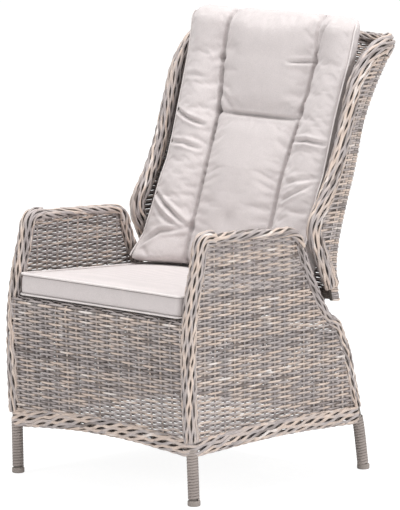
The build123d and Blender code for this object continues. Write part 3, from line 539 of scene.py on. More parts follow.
def spaced(points, step):
    """The same line as evenly spaced points."""
    spots = np.array([tuple(point) for point in points])
    runs = np.linalg.norm(np.diff(spots, axis=0), axis=1)
    lengths = np.concatenate([[0], np.cumsum(runs)])
    count = max(2, int(round(lengths[-1] / step)) + 1)
    wanted = np.linspace(0, lengths[-1], count)
    columns = (np.interp(wanted, lengths, spots[:, axis]) for axis in range(3))
    return [Vector(spot) for spot in zip(*columns)]


def rounded(points, step=0.006, run_share=0.45):
    """A bent line, each corner rounded as far as its runs allow."""
    line = [points[0]]
    for before, here, after in zip(points, points[1:], points[2:]):
        reach = run_share * min((here - before).length, (after - here).length)
        start = here + (before - here).normalized() * reach
        end = here + (after - here).normalized() * reach
        for share in np.linspace(0, 1, 9):
            line.append(between(between(start, here, share), between(here, end, share), share))
    line.append(points[-1])
    return spaced(line, step)


def nearest(line, point):
    return min(range(len(line)), key=lambda index: (line[index] - point).length)


def line_mesh(name, lines, fields):
    """Mesh of open lines. A field holds one value for each point."""
    vertices = [tuple(point) for line in lines for point in line]
    edges = []
    start = 0
    for line in lines:
        edges += [(start + index, start + index + 1) for index in range(len(line) - 1)]
        start += len(line)
    mesh = bpy.data.meshes.new(name)
    mesh.from_pydata(vertices, edges, [])
    for field, values in fields.items():
        flat = np.array(values)
        kind = "FLOAT_VECTOR" if flat.ndim == 2 else "INT" if field == "strand" else "FLOAT"
        part = "vector" if flat.ndim == 2 else "value"
        mesh.attributes.new(field, kind, "POINT").data.foreach_set(part, flat.ravel())
    return mesh


# The side loop, from the front foot over the arm to the rear foot: shares of the half width, of
# the depth, and of the height up to the seat rail or from there up to the arm
foot_height = 0.004
foot_front = place(0.948, -0.462, foot_height)
post_shares = [(0.942, -0.467, 0.327), (0.938, -0.478, 0.625), (0.935, -0.477, 0.977)]
post_high_shares = [(0.930, -0.454, 0.42), (0.925, -0.4275, 0.75), (0.918, -0.416, 1.0)]
arm_shares = [(0.922, -0.191, 0.972), (0.935, 0.015, 0.92)]
slope_high_shares = [(0.935, 0.041, 0.607), (0.938, 0.081, 0.28)]
slope_low_shares = [(0.938, 0.135, 0.977), (0.938, 0.155, 0.920)]
ledge_share = (0.938, 0.201, 0.882)
leg_shares = [
    (0.938, 0.221, 0.800), (0.938, 0.249, 0.700), (0.938, 0.285, 0.441), (0.942, 0.312, 0.264),
]
foot_rear = place(0.948, 0.331, foot_height)


def low_points(shares):
    return [place(x, y, low(z)) for x, y, z in shares]


def high_points(shares):
    return [place(x, y, high(z)) for x, y, z in shares]


post_points = [foot_front] + low_points(post_shares) + high_points(post_high_shares)
arm_points = high_points(arm_shares)
slope_points = high_points(slope_high_shares) + low_points(slope_low_shares)
ledge_rear = low_points([ledge_share])[0]
leg_points = low_points(leg_shares) + [foot_rear]
loop_line = rounded(post_points + arm_points + slope_points + [ledge_rear] + leg_points)
arm_start = between(post_points[-1], arm_points[0], 0.2)
slope_start = between(arm_points[1], slope_points[0], 0.5)
corner_start = between(slope_points[-1], ledge_rear, 0.5)
arm_cut = nearest(loop_line, arm_start)
slope_cut = nearest(loop_line, slope_start)
corner_cut = nearest(loop_line, corner_start)

# The skirt's middle line, and where the braids of posts and rear corners end on it
skirt_thickness = 0.020
skirt_middle = 0.144
post_foot = skirt_middle + 0.014


def cut_between(line, lowest, highest):
    return [point for point in line if lowest <= point.z <= highest]


def crossing(line, height):
    """Y of the first place where a line crosses a height."""
    for lower, upper in zip(line, line[1:]):
        if min(lower.z, upper.z) <= height < max(lower.z, upper.z):
            return between(lower, upper, (height - lower.z) / (upper.z - lower.z)).y
    return None


post_line = loop_line[:arm_cut + 2]
arm_line = loop_line[arm_cut - 1:slope_cut + 2]
slope_line = loop_line[slope_cut - 1:corner_cut + 2]
corner_line = loop_line[corner_cut - 1:]

# The back's side tubes and wings: shares of the depth, and of the height above the hinge
back_shares = [
    (0.190, 0.0342), (0.183, 0.0665), (0.174, 0.1565), (0.187, 0.2445), (0.222, 0.3618),
    (0.262, 0.4743), (0.308, 0.6552), (0.368, 0.7725), (0.430, 0.8654),
]
back_points = [Vector((back_tube_x, chair_depth * y, up_back(z))) for y, z in back_shares]
top_run_length = 0.042
top_bend = back_points[-1] + (back_points[-1] - back_points[-2]).normalized() * top_run_length
top_y = chair_depth / 2 - top_braid_radius
top_points = [back_points[-1], top_bend, Vector((back_tube_x * 0.46, top_y, up_back(0.917)))]
wing_shares = [
    (0.128, 0.1975), (0.084, 0.2943), (0.163, 0.4107), (0.219, 0.5398),
    (0.254, 0.6649), (0.290, 0.7793), (0.342, 0.8510), (0.396, 0.8930),
]
wing_points = [between(back_points[1], back_points[2], 0.2)]
wing_points += [Vector((back_tube_x, chair_depth * y, up_back(z))) for y, z in wing_shares] + [top_bend]
back_line = rounded(back_points)
wing_line = rounded(wing_points)
top_line = rounded(top_points + list(reversed(mirrored(top_points, -1))))


# Braids: strands, turns for each metre, half width and half depth, a strand's width and
# thickness, waves for each metre, and how far the strands sway, lift and wander
braid_styles = {
    "post": (17, 0.8, (0.0200, 0.0215), (0.0072, 0.0048), 16.0, 0.34, 0.0010, 0.0012),
    "arm": (10, -3.2, (0.0205, 0.0135), (0.0078, 0.0046), 12.0, 0.30, 0.0009, 0.0010),
    "slope": (14, -1.3, (0.0165, 0.0165), (0.0066, 0.0046), 17.0, 0.36, 0.0010, 0.0012),
    "corner": (14, -0.9, (0.0165, 0.0165), (0.0066, 0.0046), 17.0, 0.36, 0.0010, 0.0012),
    "wing": (17, 1.2, (0.0172, 0.0242), (0.0078, 0.0052), 13.0, 0.34, 0.0010, 0.0012),
    "top": (13, 2.0, (0.0165, 0.0165), (0.0070, 0.0046), 15.0, 0.34, 0.0008, 0.0012),
    "skirt": (13, -1.7, (0.0225, 0.0105), (0.0088, 0.0046), 14.0, 0.34, 0.0008, 0.0012),
}
braid_step, core_step = 0.006, 0.008
core_share = 0.86


def braid(name, style, line, body, nodes, axis, seed, side=1):
    """Strands wound round a core, coloured dark as painted shade for the gaps between the strands."""
    strands, turns, half_sizes, strand, waves, sway, lift, wander = braid_styles[style]
    half_x, half_y = half_sizes
    width, thickness = strand
    piece = grown(
        name, [line], braid_tree, strands=strands, turns_per_metre=turns * side, axis=axis,
        half_width=half_x - thickness / 2 - lift, half_depth=half_y - thickness / 2 - lift,
        step=braid_step, strand_width=width, strand_thickness=thickness, sway=sway, lift=lift,
        waves_per_metre=waves, sides=8, wander=wander, seed=seed, material=wicker,
    )
    core = grown(
        f"{name}_core", [line], braid_tree, strands=1, axis=axis, step=core_step,
        strand_width=2 * (half_y - thickness) * core_share, seed=seed, material=core_wicker,
        strand_thickness=2 * (half_x - thickness) * core_share, sides=12,
    )
    settle(core, body, "wicker")
    settle(piece, body, "wicker", *nodes)


across = (1.0, 0.0, 0.0)
inwards = (0.0, 1.0, 0.0)
upward = (0.0, 0.0, 1.0)
for number, (name, side) in enumerate(SIDES):
    for style, line, body, node, seed in (
        ("post", cut_between(post_line, post_foot, arm_height), "frame", "front_post_braid", 11),
        ("arm", arm_line, "frame", "armrest_braid", 21),
        ("slope", slope_line, "frame", "slope_braid", 31),
        ("corner", cut_between(corner_line, post_foot, arm_height), "frame", "rear_corner_braid", 41),
        ("wing", wing_line, "back", "wing_braid", 51),
    ):
        braid(
            f"{style}_strands_{name}", style, mirrored(line, side), body, [f"{node}_{name}"],
            across, seed + number, side,
        )
braid("top_strands", "top", top_line, "back", ["back_top_braid"], inwards, 61)


# Skirt: one braid all round the bottom of the weave
def skirt_line():
    """The closed line of the skirt's middle, arched between the chair's corners."""
    front_stand = 0.0109
    front_y = post_points[1].y - front_stand
    rear_y = crossing(leg_points, skirt_middle)
    side_x = half_width - skirt_thickness / 2
    front_arch, side_arch, arch_share, corner = 0.018, 0.009, 0.36, 0.013
    corners = [Vector((x * side_x, y, skirt_middle)) for x, y in (
        (-1, front_y), (1, front_y), (1, rear_y), (-1, rear_y),
    )]
    points = []
    arches = (front_arch, side_arch, side_arch, side_arch)
    for start, end, arch in zip(corners, corners[1:] + corners[:1], arches):
        inset = (end - start).normalized() * corner
        lift = Vector((0, 0, arch))
        points += [
            start + inset,
            between(start, end, arch_share) + lift,
            between(end, start, arch_share) + lift,
            end - inset,
        ]
    middle = between(points[-2], points[-3], 0.5)
    return rounded([middle] + points[-2:] + points[:-2] + [middle], run_share=0.48)


skirts = ["skirt_front", "skirt_rear", "skirt_left", "skirt_right"]
braid("skirt_strands", "skirt", skirt_line(), "frame", skirts, upward, 71)


def leg_wrap(name, line):
    """One flat strand wound down a leg."""
    radius, width, thickness, pitch = 0.0150, 0.0076, 0.0028, 0.0072
    reach = radius - thickness / 2
    piece = grown(
        name, [line], braid_tree, strands=1, turns_per_metre=1 / pitch, axis=across,
        half_width=reach, half_depth=reach, step=0.0006, strand_width=width, sides=6,
        strand_thickness=thickness, wander=0.0004, seed=81, material=wrap_wicker,
    )
    return settle(piece, "frame", "wicker")


wrap_foot = 0.013
for name, side in SIDES:
    for end, line in (("front", post_line), ("rear", corner_line)):
        run = cut_between(mirrored(line, side), wrap_foot, skirt_middle)
        leg_wrap(f"{end}_leg_wrap_{name}", run)
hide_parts("leg_wraps")

# Woven panels: rows of strands over and under pairs of stakes
row_pitch = 0.00615
stake_pitch = 0.036
stake_gap = 0.0017
samples_per_stake = 8
stake_depth = 0.05
stake_girth = 0.62


def stake_places(first, last):
    """Where the stakes of a panel stand, in pairs."""
    places = range(first, last)
    return [place * stake_pitch + shift for place in places for shift in (-stake_gap, stake_gap)]


class Weave:
    """Collects the rows and stakes of one woven panel."""

    def __init__(self):
        self.lines = []
        self.fields = {"outward": [], "depth": [], "strand": [], "girth": []}
        self.count = 0

    def add(self, spots, depths, girth=1.0):
        self.lines.append([point for point, out in spots])
        self.fields["outward"] += [tuple(out) for point, out in spots]
        self.fields["depth"] += list(depths)
        self.fields["strand"] += [self.count] * len(spots)
        self.fields["girth"] += [girth] * len(spots)
        self.count += 1

    def dips(self, number, places):
        """How far out the row is at each place: flat over a pair of stakes, steep between them."""
        outer_share, bluntness = 0.28, 0.6
        waves = np.cos(np.pi * (np.array(places) / stake_pitch + number))
        waves = (waves + outer_share) / (1 + outer_share)
        return np.sign(waves) * np.abs(waves) ** bluntness

    def row(self, number, start, end, spot):
        """A row from start to end along the panel. spot gives its point and outward way."""
        if end - start < stake_pitch / 2:
            return
        steps = max(2, int(round((end - start) / stake_pitch * samples_per_stake)))
        places = np.linspace(start, end, steps + 1)
        self.add([spot(value) for value in places], self.dips(number, places))

    def stake(self, spots):
        if len(spots) > 2:
            self.add(spots, [stake_depth] * len(spots), stake_girth)

    def grow(self, name, body, nodes, seed, thickness=0.0030, rise=0.0026, wander=0.0012):
        piece = grown(
            name, self.lines, row_tree, self.fields, rise=rise, strand_width=0.0062,
            strand_thickness=thickness, sides=6, wander=wander, seed=seed, material=wicker,
        )
        settle(piece, body, "wicker", *nodes)


def side_panel_x(height):
    """Middle of the side weave: upright below the seat, leaning in above it."""
    low_inset, high_reach = 0.007, 0.010
    foot = half_width - weave_thickness * 1.5 - low_inset
    head = post_points[-1].x + high_reach - weave_thickness / 2
    rise = max(0.0, (height - rail_height) / (arm_height - rail_height))
    return foot + (head - foot) * rise ** 2


def side_panel(name, side, seed):
    """Rows between the side loop's front and rear runs, up to its arm."""
    weave = Weave()
    front_more, arm_skip, rear_more = 8, 4, 16
    fronts, rears = loop_line[:arm_cut + front_more], loop_line[slope_cut - rear_more:]
    arm_rear = loop_line[arm_cut + arm_skip:slope_cut]

    def spot(y, height):
        return Vector((side * side_panel_x(height), y, height)), Vector((side, 0, 0))

    spans = {}
    for number in range(int(skirt_middle / row_pitch), int(arm_height / row_pitch)):
        height = number * row_pitch
        start, end = crossing(fronts, height), crossing(rears, height)
        if height > slope_start.z:
            end = end or crossing(arm_rear, height)
        if start is None or end is None:
            continue
        spans[number] = (start, end)
        weave.row(number, start, end, lambda y: spot(y, height))
    for y in stake_places(-12, 12):
        weave.stake([
            spot(y, number * row_pitch)
            for number, (start, end) in spans.items() if start < y < end and number % 2 == 0
        ])
    weave.grow(f"side_weave_strands_{name}", "frame", [f"side_weave_{name}"], seed)


for number, (name, side) in enumerate(SIDES):
    side_panel(name, side, 101 + number)


def profile_panel(name, body, node, profile, half_span, facing, seed, **sizes):
    """Rows along X, stacked along a profile in Y and Z. half_span gives each row's reach."""
    weave = Weave()
    line = spaced(profile, row_pitch)
    rows = []
    for before, point, after in zip(line[:1] + line, line, line[1:] + line[-1:]):
        run = after - before
        way = Vector((0, -run.z, run.y)).normalized()
        rows.append((point, way if way.y * facing > 0 or abs(way.y) < 1e-6 else -way))
    for number, (point, way) in enumerate(rows):
        reach = half_span(point.z)
        weave.row(number, -reach, reach, lambda x: (Vector((x, point.y, point.z)), way))
    for x in stake_places(-9, 10):
        weave.stake([
            (Vector((x, point.y, point.z)), way)
            for point, way in rows[::2] if abs(x) < half_span(point.z)
        ])
    weave.grow(name, body, [node], seed, **sizes)


def seat_drop(y):
    """How far the seat has sunk at a place, from the front rail backwards."""
    return (y - rail_y) * math.tan(seat_slope)


rail_y = post_points[3].y
front_wrap = 0.0143
front_turn = 0.012
front_reach, rear_reach, deck_reach = 0.300, 0.302, 0.290
over_rail = rail_height + front_wrap
front_profile = rounded([
    Vector((0, rail_y, skirt_middle)),
    Vector((0, rail_y - front_wrap, over_rail)),
    Vector((0, rail_y + front_turn, over_rail)),
], step=0.001, run_share=0.5)
profile_panel(
    "front_weave_strands", "frame", "front_weave", front_profile, lambda z: front_reach, -1, 111,
)

wrap_radius = tube_radius + 0.0028
rear_top = between(leg_points[0], leg_points[1], 0.26)
rear_profile = [
    Vector((0, rear_top.y + wrap_radius * math.cos(angle), rear_top.z + wrap_radius * math.sin(angle)))
    for angle in np.radians(np.linspace(150, 0, 9))
]
rear_profile += [
    Vector((0, crossing(leg_points, height), height)) for height in (0.30, 0.25, 0.20, 0.15)
]
profile_panel("rear_weave_strands", "frame", "rear_weave", rear_profile, lambda z: rear_reach, 1, 121)

deck_front_y, deck_rear_y = -0.362, 0.104
deck_profile = [Vector((0, y, over_rail - seat_drop(y))) for y in (deck_front_y, deck_rear_y)]
profile_panel(
    "deck_weave_strands", "frame", "seat_deck", deck_profile, lambda z: deck_reach, 1, 131,
    thickness=0.0026, rise=0.0011, wander=0.0006,
)

arch_edge = [point for point in top_line if point.x >= 0]


def back_reach(height):
    """Half width of the back weave, which the arched top rail narrows."""
    for outer, inner in zip(arch_edge, arch_edge[1:]):
        if outer.z <= height < inner.z:
            return between(outer, inner, (height - outer.z) / (inner.z - outer.z)).x
    return back_tube_x if height < arch_edge[0].z else 0.0


back_profile = [Vector((0, point.y, point.z)) for point in back_points[:-1] + [top_bend]]
back_profile = rounded(back_profile + [Vector((0, top_y, top_points[-1].z + top_braid_radius))])
profile_panel("back_weave_strands", "back", "back_weave", back_profile, back_reach, 1, 141)


def wing_panel(name, side, seed):
    """The wing's rows start in its braid, run back and turn round the side tube."""
    weave = Weave()
    plane_x = back_tube_x + tube_radius - weave_thickness / 2
    turn_radius = tube_radius + 0.0022
    sample_pitch, hidden_start, turn_end, turn_depth = 0.0045, -60, 100, 0.35
    first_stake = 0.016

    def spot(y, height):
        return Vector((side * plane_x, y, height)), Vector((side, 0, 0))

    flat_line = [Vector((0, point.y, point.z)) for point in back_line]
    spans = {}
    for number, height in enumerate(point.z for point in spaced(flat_line, row_pitch)):
        rear, front = crossing(back_line, height), crossing(wing_line, height)
        if rear is None:
            continue
        straight = []
        if front is not None:
            spans[number] = (front, rear, height)
            count = max(2, int((rear - front) / sample_pitch))
            straight = [spot(y, height) for y in np.linspace(front, rear, count)]
        turn = []
        for angle in np.radians(np.linspace(0 if straight else hidden_start, turn_end, 9)):
            way = Vector((side * math.cos(angle), math.sin(angle), 0))
            turn.append((Vector((side * back_tube_x, rear, height)) + way * turn_radius, way))
        spots = straight[:-1] + turn
        lengths = np.cumsum([0.0] + [(b[0] - a[0]).length for a, b in zip(spots, spots[1:])])
        depths = weave.dips(number + 0.5, lengths - lengths[-1])
        depths[max(0, len(straight) - 2):] *= turn_depth
        weave.add(spots, depths)
    for place in stake_places(1, 5):
        weave.stake([
            spot(rear - place + first_stake, height)
            for number, (front, rear, height) in spans.items()
            if front < rear - place + first_stake and number % 2 == 0
        ])
    weave.grow(f"wing_weave_strands_{name}", "back", [f"wing_weave_{name}"], seed, rise=0.0022)


for number, (name, side) in enumerate(SIDES):
    wing_panel(name, side, 151 + number)


def round_curve(name, line, kind, radius, resolution):
    """A curve of round section along a line, with closed ends."""
    curve = bpy.data.curves.new(name, "CURVE")
    curve.dimensions = "3D"
    spline = curve.splines.new(kind)
    spline.points.add(len(line) - 1)
    for point, spot in zip(spline.points, line):
        point.co = (*spot, 1)
    curve.bevel_depth = radius
    curve.bevel_resolution = resolution
    curve.use_fill_caps = True
    return curve, spline


# Release cable, under the seat from the lever's bracket to the gas spring's
def release_cable():
    diameter = 0.006
    start_run, end_run = Vector((0, 0.032, 0)), Vector((0, 0.042, 0))
    bracket_stop = Vector((-0.2757, -0.2259, 0.4260))
    spring_stop = Vector((0.0167, -0.1397, 0.3950))
    route = [bracket_stop, bracket_stop - start_run] + low_points([
        (-0.794, -0.3791, 0.966), (-0.646, -0.4097, 0.939), (-0.462, -0.4097, 0.920),
        (-0.295, -0.3817, 0.909), (-0.142, -0.3333, 0.902), (-0.018, -0.2824, 0.898),
    ]) + [spring_stop - end_run, spring_stop]
    name = "release_cable_jacket"
    curve, spline = round_curve(name, route, "NURBS", diameter / 2, 4)
    spline.order_u = 3
    spline.use_endpoint_u = True
    spline.resolution_u = 12
    curve.materials.append(finishes["cable_jacket"])
    piece = settle(linked(name, curve), "frame", "cable_jacket", "release_cable")


release_cable()


# Cushions
def skin_over(name, rings):
    """Closed skin over a stack of closed rings of points, its faces outwards."""
    count = len(rings[0])
    vertices = [tuple(point) for ring in rings for point in ring]
    faces = [tuple(reversed(range(count)))]
    for level in range(len(rings) - 1):
        start = level * count
        for index in range(count):
            after = (index + 1) % count
            faces.append((start + index, start + after, start + count + after, start + count + index))
    faces.append(tuple(range((len(rings) - 1) * count, len(rings) * count)))
    mesh = bpy.data.meshes.new(name)
    mesh.from_pydata(vertices, [], faces)
    skin = bmesh.new()
    skin.from_mesh(mesh)
    bmesh.ops.recalc_face_normals(skin, faces=skin.faces)
    skin.to_mesh(mesh)
    skin.free()
    return linked(name, mesh)


def spots_of(mesh, normals=False):
    flat = np.empty(len(mesh.vertices) * 3)
    if normals:
        mesh.vertex_normals.foreach_get("vector", flat)
    else:
        mesh.vertices.foreach_get("co", flat)
    return flat.reshape(-1, 3)


def smooth(mesh):
    mesh.polygons.foreach_set("use_smooth", [True] * len(mesh.polygons))


def swell(piece, sewn, voxel, reach, pressure, slack):
    """Fills a cushion like cloth under pressure. sewn gives how firmly each point is held."""
    last_frame = 20
    remesh = piece.modifiers.new("remesh", "REMESH")
    remesh.mode = "VOXEL"
    remesh.voxel_size = voxel
    mesh = plain_mesh(piece)
    start = spots_of(mesh)
    hold = sewn(start)
    group = piece.vertex_groups.new(name="sewn")
    for index in np.flatnonzero(hold > 0):
        group.add([int(index)], float(hold[index]), "REPLACE")
    cloth = piece.modifiers.new("cloth", "CLOTH")
    for label, value in {
        "quality": 4, "mass": 0.3, "tension_stiffness": 12, "compression_stiffness": 12,
        "bending_stiffness": 0.4, "shrink_min": -slack, "use_pressure": True,
        "uniform_pressure_force": pressure, "vertex_group_mass": "sewn",
    }.items():
        setattr(cloth.settings, label, value)
    cloth.settings.effector_weights.gravity = 0
    cloth.collision_settings.use_collision = False
    for number in range(1, last_frame + 1):
        bpy.context.scene.frame_set(number)
    mesh = plain_mesh(piece)
    bpy.context.scene.frame_set(1)
    moved = spots_of(mesh) - start
    far = np.linalg.norm(moved, axis=1, keepdims=True)
    moved *= reach * np.tanh(far / reach) / np.maximum(far, 1e-9)
    mesh.vertices.foreach_set("co", (start + moved).ravel())
    piece.vertex_groups.clear()
    finer = piece.modifiers.new("finer", "SUBSURF")
    finer.levels = finer.render_levels = 1
    mesh = plain_mesh(piece)
    smooth(mesh)
    return mesh


def press_folds(mesh, folds, shown):
    """Presses seams, tufts and creases into a cushion's front, each between two soft ridges, and paints
    shade along each.
    """
    far_off, ridge_place, shade_share = 1.0, 2.1, 0.6
    end_fade, fade_power = 0.05, 0.7
    spots, normals = spots_of(mesh), spots_of(mesh, normals=True)
    flat = spots[:, [0, 2]]
    shift = np.zeros(len(spots))
    fold = np.zeros(len(spots))
    for points, width, depth, ridge, shade_darkness in folds:
        nearest_yet = np.full(len(spots), far_off)
        strength = np.zeros(len(spots))
        points = np.array(points, dtype=float)
        count = max(1, len(points) - 1)
        for index in range(count):
            start, end = points[index], points[min(index + 1, len(points) - 1)]
            run = end - start
            share = np.clip((flat - start) @ run / max(run @ run, 1e-9), 0, 1)
            gap = np.linalg.norm(flat - start - share[:, None] * run, axis=1)
            whole = end_fade + (1 - 2 * end_fade) * (index + share) / count
            fade = np.sin(np.pi * whole) ** fade_power if len(points) > 1 else 1.0
            strength = np.where(gap < nearest_yet, fade, strength)
            nearest_yet = np.minimum(nearest_yet, gap)
        groove = -np.exp(-(nearest_yet / width) ** 2)
        ridges = ridge * np.exp(-((nearest_yet - ridge_place * width) / width) ** 2)
        shift += depth * strength * (groove + ridges)
        # Painted shade along each fold, kept as a point attribute for the fabric.
        shade = np.exp(-(nearest_yet / (shade_share * width)) ** 2)
        fold = np.maximum(fold, shade * strength * shade_darkness)
    faced = shown(spots, normals)
    spots += normals * (shift * faced)[:, None]
    mesh.vertices.foreach_set("co", spots.ravel())
    mesh.attributes.new("fold", "FLOAT", "POINT").data.foreach_set("value", fold * faced)
    mesh.update()


def piping(name, line, radius, body, material, closed):
    """A thin sewn cord of cloth along a cushion's edge."""
    curve, spline = round_curve(name, line, "POLY", radius, 2)
    spline.use_cyclic_u = closed
    piece = linked(name, curve)
    graph = bpy.context.evaluated_depsgraph_get()
    mesh = bpy.data.meshes.new_from_object(piece.evaluated_get(graph))
    bpy.data.objects.remove(piece)
    mesh.materials.clear()
    mesh.materials.append(material)
    smooth(mesh)
    settle(linked(name, mesh), body, "cushion_fabric")


def seat_cushion():
    """Box cushion that slopes with the seat, piped along its top and bottom edges."""
    width, thickness, crown, corner = 0.5605, 0.0545, 0.0021, 0.016
    side_draw, edge_draw, under_reach, outline_count = 0.003, 0.0035, 0.22, 300
    rim_reach, rim_height, resting_height = 0.009, 0.007, 0.004
    front_reach, lift = 0.008, 0.0036
    front, rear = rail_y - front_reach, 0.118
    bottom = over_rail + weave_thickness / 2 + lift
    middle_y, half_x, half_y = (front + rear) / 2, width / 2, (rear - front) / 2
    tilt = Matrix.Translation((0, rail_y, rail_height)) @ Matrix.Rotation(-seat_slope, 4, "X")
    tilt = tilt @ Matrix.Translation((0, -rail_y, -rail_height))

    def outline(inset, height):
        """Rounded rectangle whose sides draw in between the corners."""
        points = []
        reach = corner * (1 - inset / half_y)
        for sign_x, sign_y, start in ((1, 1, 0), (-1, 1, 90), (-1, -1, 180), (1, -1, 270)):
            for angle in np.radians(np.linspace(start, start + 90, 9)):
                x = sign_x * (half_x - inset - reach) + reach * math.cos(angle)
                y = sign_y * (half_y - inset - reach) + reach * math.sin(angle)
                points.append(Vector((x, y, height)))
        line = spaced(points + [points[0]], 0.001)
        share = (len(line) - 1) / outline_count
        draw = side_draw * (1 - inset / half_y)
        drawn = []
        for point in (line[round(index * share)] for index in range(outline_count)):
            share_x, share_y = point.x / half_x, point.y / half_y
            x = point.x - draw * share_x ** 9 * (1 - share_y ** 2)
            y = point.y - draw * share_y ** 9 * (1 - share_x ** 2)
            drawn.append(tilt @ Vector((x, middle_y + y, point.z)))
        return drawn

    rings = [outline(inset, bottom) for inset in np.linspace(under_reach, 0.001, 12)]
    for share in np.linspace(0, 1, 9):
        rings.append(outline(edge_draw * (2 * share - 1) ** 6, bottom + thickness * share))
    for share in np.linspace(0.02, 0.95, 16):
        height = bottom + thickness + crown * (1 - (1 - share) ** 6)
        rings.append(outline(half_y * share, height))
    piece = skin_over("seat_pad", rings)
    upright = np.array(tilt.inverted())

    def sewn(spots):
        x, y, z = (spots @ upright[:3, :3].T + upright[:3, 3]).T
        edge = np.minimum(half_x - np.abs(x), half_y - np.abs(y - middle_y))
        rim = np.minimum(z - bottom, bottom + thickness - z) < rim_height
        return (((edge < rim_reach) & rim) | (z < bottom + resting_height)).astype(float)

    mesh = swell(piece, sewn, voxel=0.0055, reach=0.011, pressure=4.0, slack=0.0)
    mesh.materials.append(cushion_fabric)
    settle(piece, "frame", "cushion_fabric", "seat_cushion")
    for name, inset, height, radius, material in (
        ("seat_piping_top", -0.0002, thickness + 0.0002, 0.0026, piping_fabric),
        ("seat_piping_bottom", -0.0002, 0.0032, 0.0026, piping_fabric),
        # Two thin dark cords: painted shade along the seams under the top piping and above the bottom
        # piping.
        ("seat_seam_top", -0.0004, thickness - 0.0036, 0.0008, seam_thread),
        ("seat_seam_bottom", -0.0004, 0.0072, 0.0008, seam_thread),
    ):
        piping(name, outline(inset, bottom + height), radius, "frame", material, True)


seat_cushion()

# Back cushion: at each height, how far out the two creases lie, their Y, the Y of the ears'
# front edges, how thick the ears are, and how far the rear stands off the weave
back_columns = ("height", "crease_x", "crease_y", "edge_y", "ear", "stand")
back_rows = [
    (0.498, 0.132, 0.084, 0.018, 0.080, 0.004), (0.512, 0.132, 0.081, 0.014, 0.090, 0.000),
    (0.530, 0.132, 0.082, 0.030, 0.085, 0.000), (0.569, 0.133, 0.096, 0.068, 0.060, 0.000),
    (0.638, 0.133, 0.120, 0.098, 0.055, 0.000), (0.707, 0.132, 0.144, 0.124, 0.050, 0.000),
    (0.757, 0.132, 0.161, 0.150, 0.045, 0.000), (0.817, 0.136, 0.187, 0.170, 0.040, 0.000),
    (0.891, 0.141, 0.217, 0.192, 0.034, 0.000), (0.951, 0.150, 0.236, 0.212, 0.030, 0.000),
    (1.034, 0.161, 0.257, 0.240, 0.026, 0.003), (1.093, 0.156, 0.266, 0.254, 0.022, 0.030),
    (1.124, 0.152, 0.268, 0.260, 0.020, 0.048), (1.147, 0.150, 0.272, 0.266, 0.018, 0.063),
]
back_table = dict(zip(back_columns, np.array(back_rows).T))
rear_table = np.array([(point.z, point.y) for point in back_profile]).T
headrest_seam = 0.885
tufts = [(-1, 1.017), (-1, 0.884), (-1, 0.594), (1, 1.029), (1, 0.902)]

# Folds on the cushion's front: points in X and Z, width, depth, ridges' share and the darkness of their
# painted shade
creases = [
    ([(-0.275, 0.884), (-0.220, 0.866), (-0.165, 0.850)], 0.0045, 0.0070, 0.6, 0.8),
    ([(-0.275, 0.800), (-0.210, 0.803), (-0.160, 0.790)], 0.0048, 0.0055, 0.6, 0.45),
    ([(-0.270, 0.672), (-0.205, 0.640), (-0.145, 0.598)], 0.0046, 0.0075, 0.6, 0.8),
    ([(-0.262, 0.640), (-0.205, 0.612), (-0.150, 0.594)], 0.0055, 0.0040, 0.5, 0.3),
    ([(-0.262, 0.545), (-0.215, 0.580), (-0.150, 0.592)], 0.0055, 0.0050, 0.5, 0.5),
    ([(-0.255, 0.970), (-0.225, 0.974), (-0.190, 0.968)], 0.0055, 0.0030, 0.4, 0.3),
    ([(0.150, 0.834), (0.205, 0.842), (0.258, 0.836)], 0.0045, 0.0065, 0.6, 0.8),
    ([(0.158, 0.730), (0.205, 0.745), (0.255, 0.752)], 0.0055, 0.0040, 0.6, 0.3),
    ([(0.160, 0.690), (0.205, 0.712), (0.250, 0.735)], 0.0050, 0.0045, 0.6, 0.4),
    ([(0.160, 1.045), (0.178, 1.090), (0.195, 1.132)], 0.0050, 0.0070, 0.5, 0.6),
    ([(0.085, 1.026), (0.120, 1.028), (0.160, 1.029)], 0.0042, 0.0060, 0.5, 0.7),
    ([(-0.145, 0.935), (-0.110, 0.915), (-0.080, 0.890)], 0.0060, 0.0030, 0.5, 0.2),
    ([(0.0, 0.630)], 0.0220, 0.0035, 0.1, 0.15),
]


def at(z, column):
    """The back cushion's measure at a height, or at an array of heights."""
    return np.interp(z, back_table["height"], back_table[column])


def weave_at(z):
    """Y of the back weave's middle at a height."""
    return np.interp(z, *rear_table)


def seat_at(x, y):
    """Height of the swollen seat cushion's top, on which the back cushion stands."""
    top_over_rail, swelling, reach = 0.0765, 0.0080, 0.29
    return rail_height + top_over_rail - seat_drop(y) + swelling * (1 - (x / reach) ** 4)


front_count, rear_count, side_count = 150, 60, 8


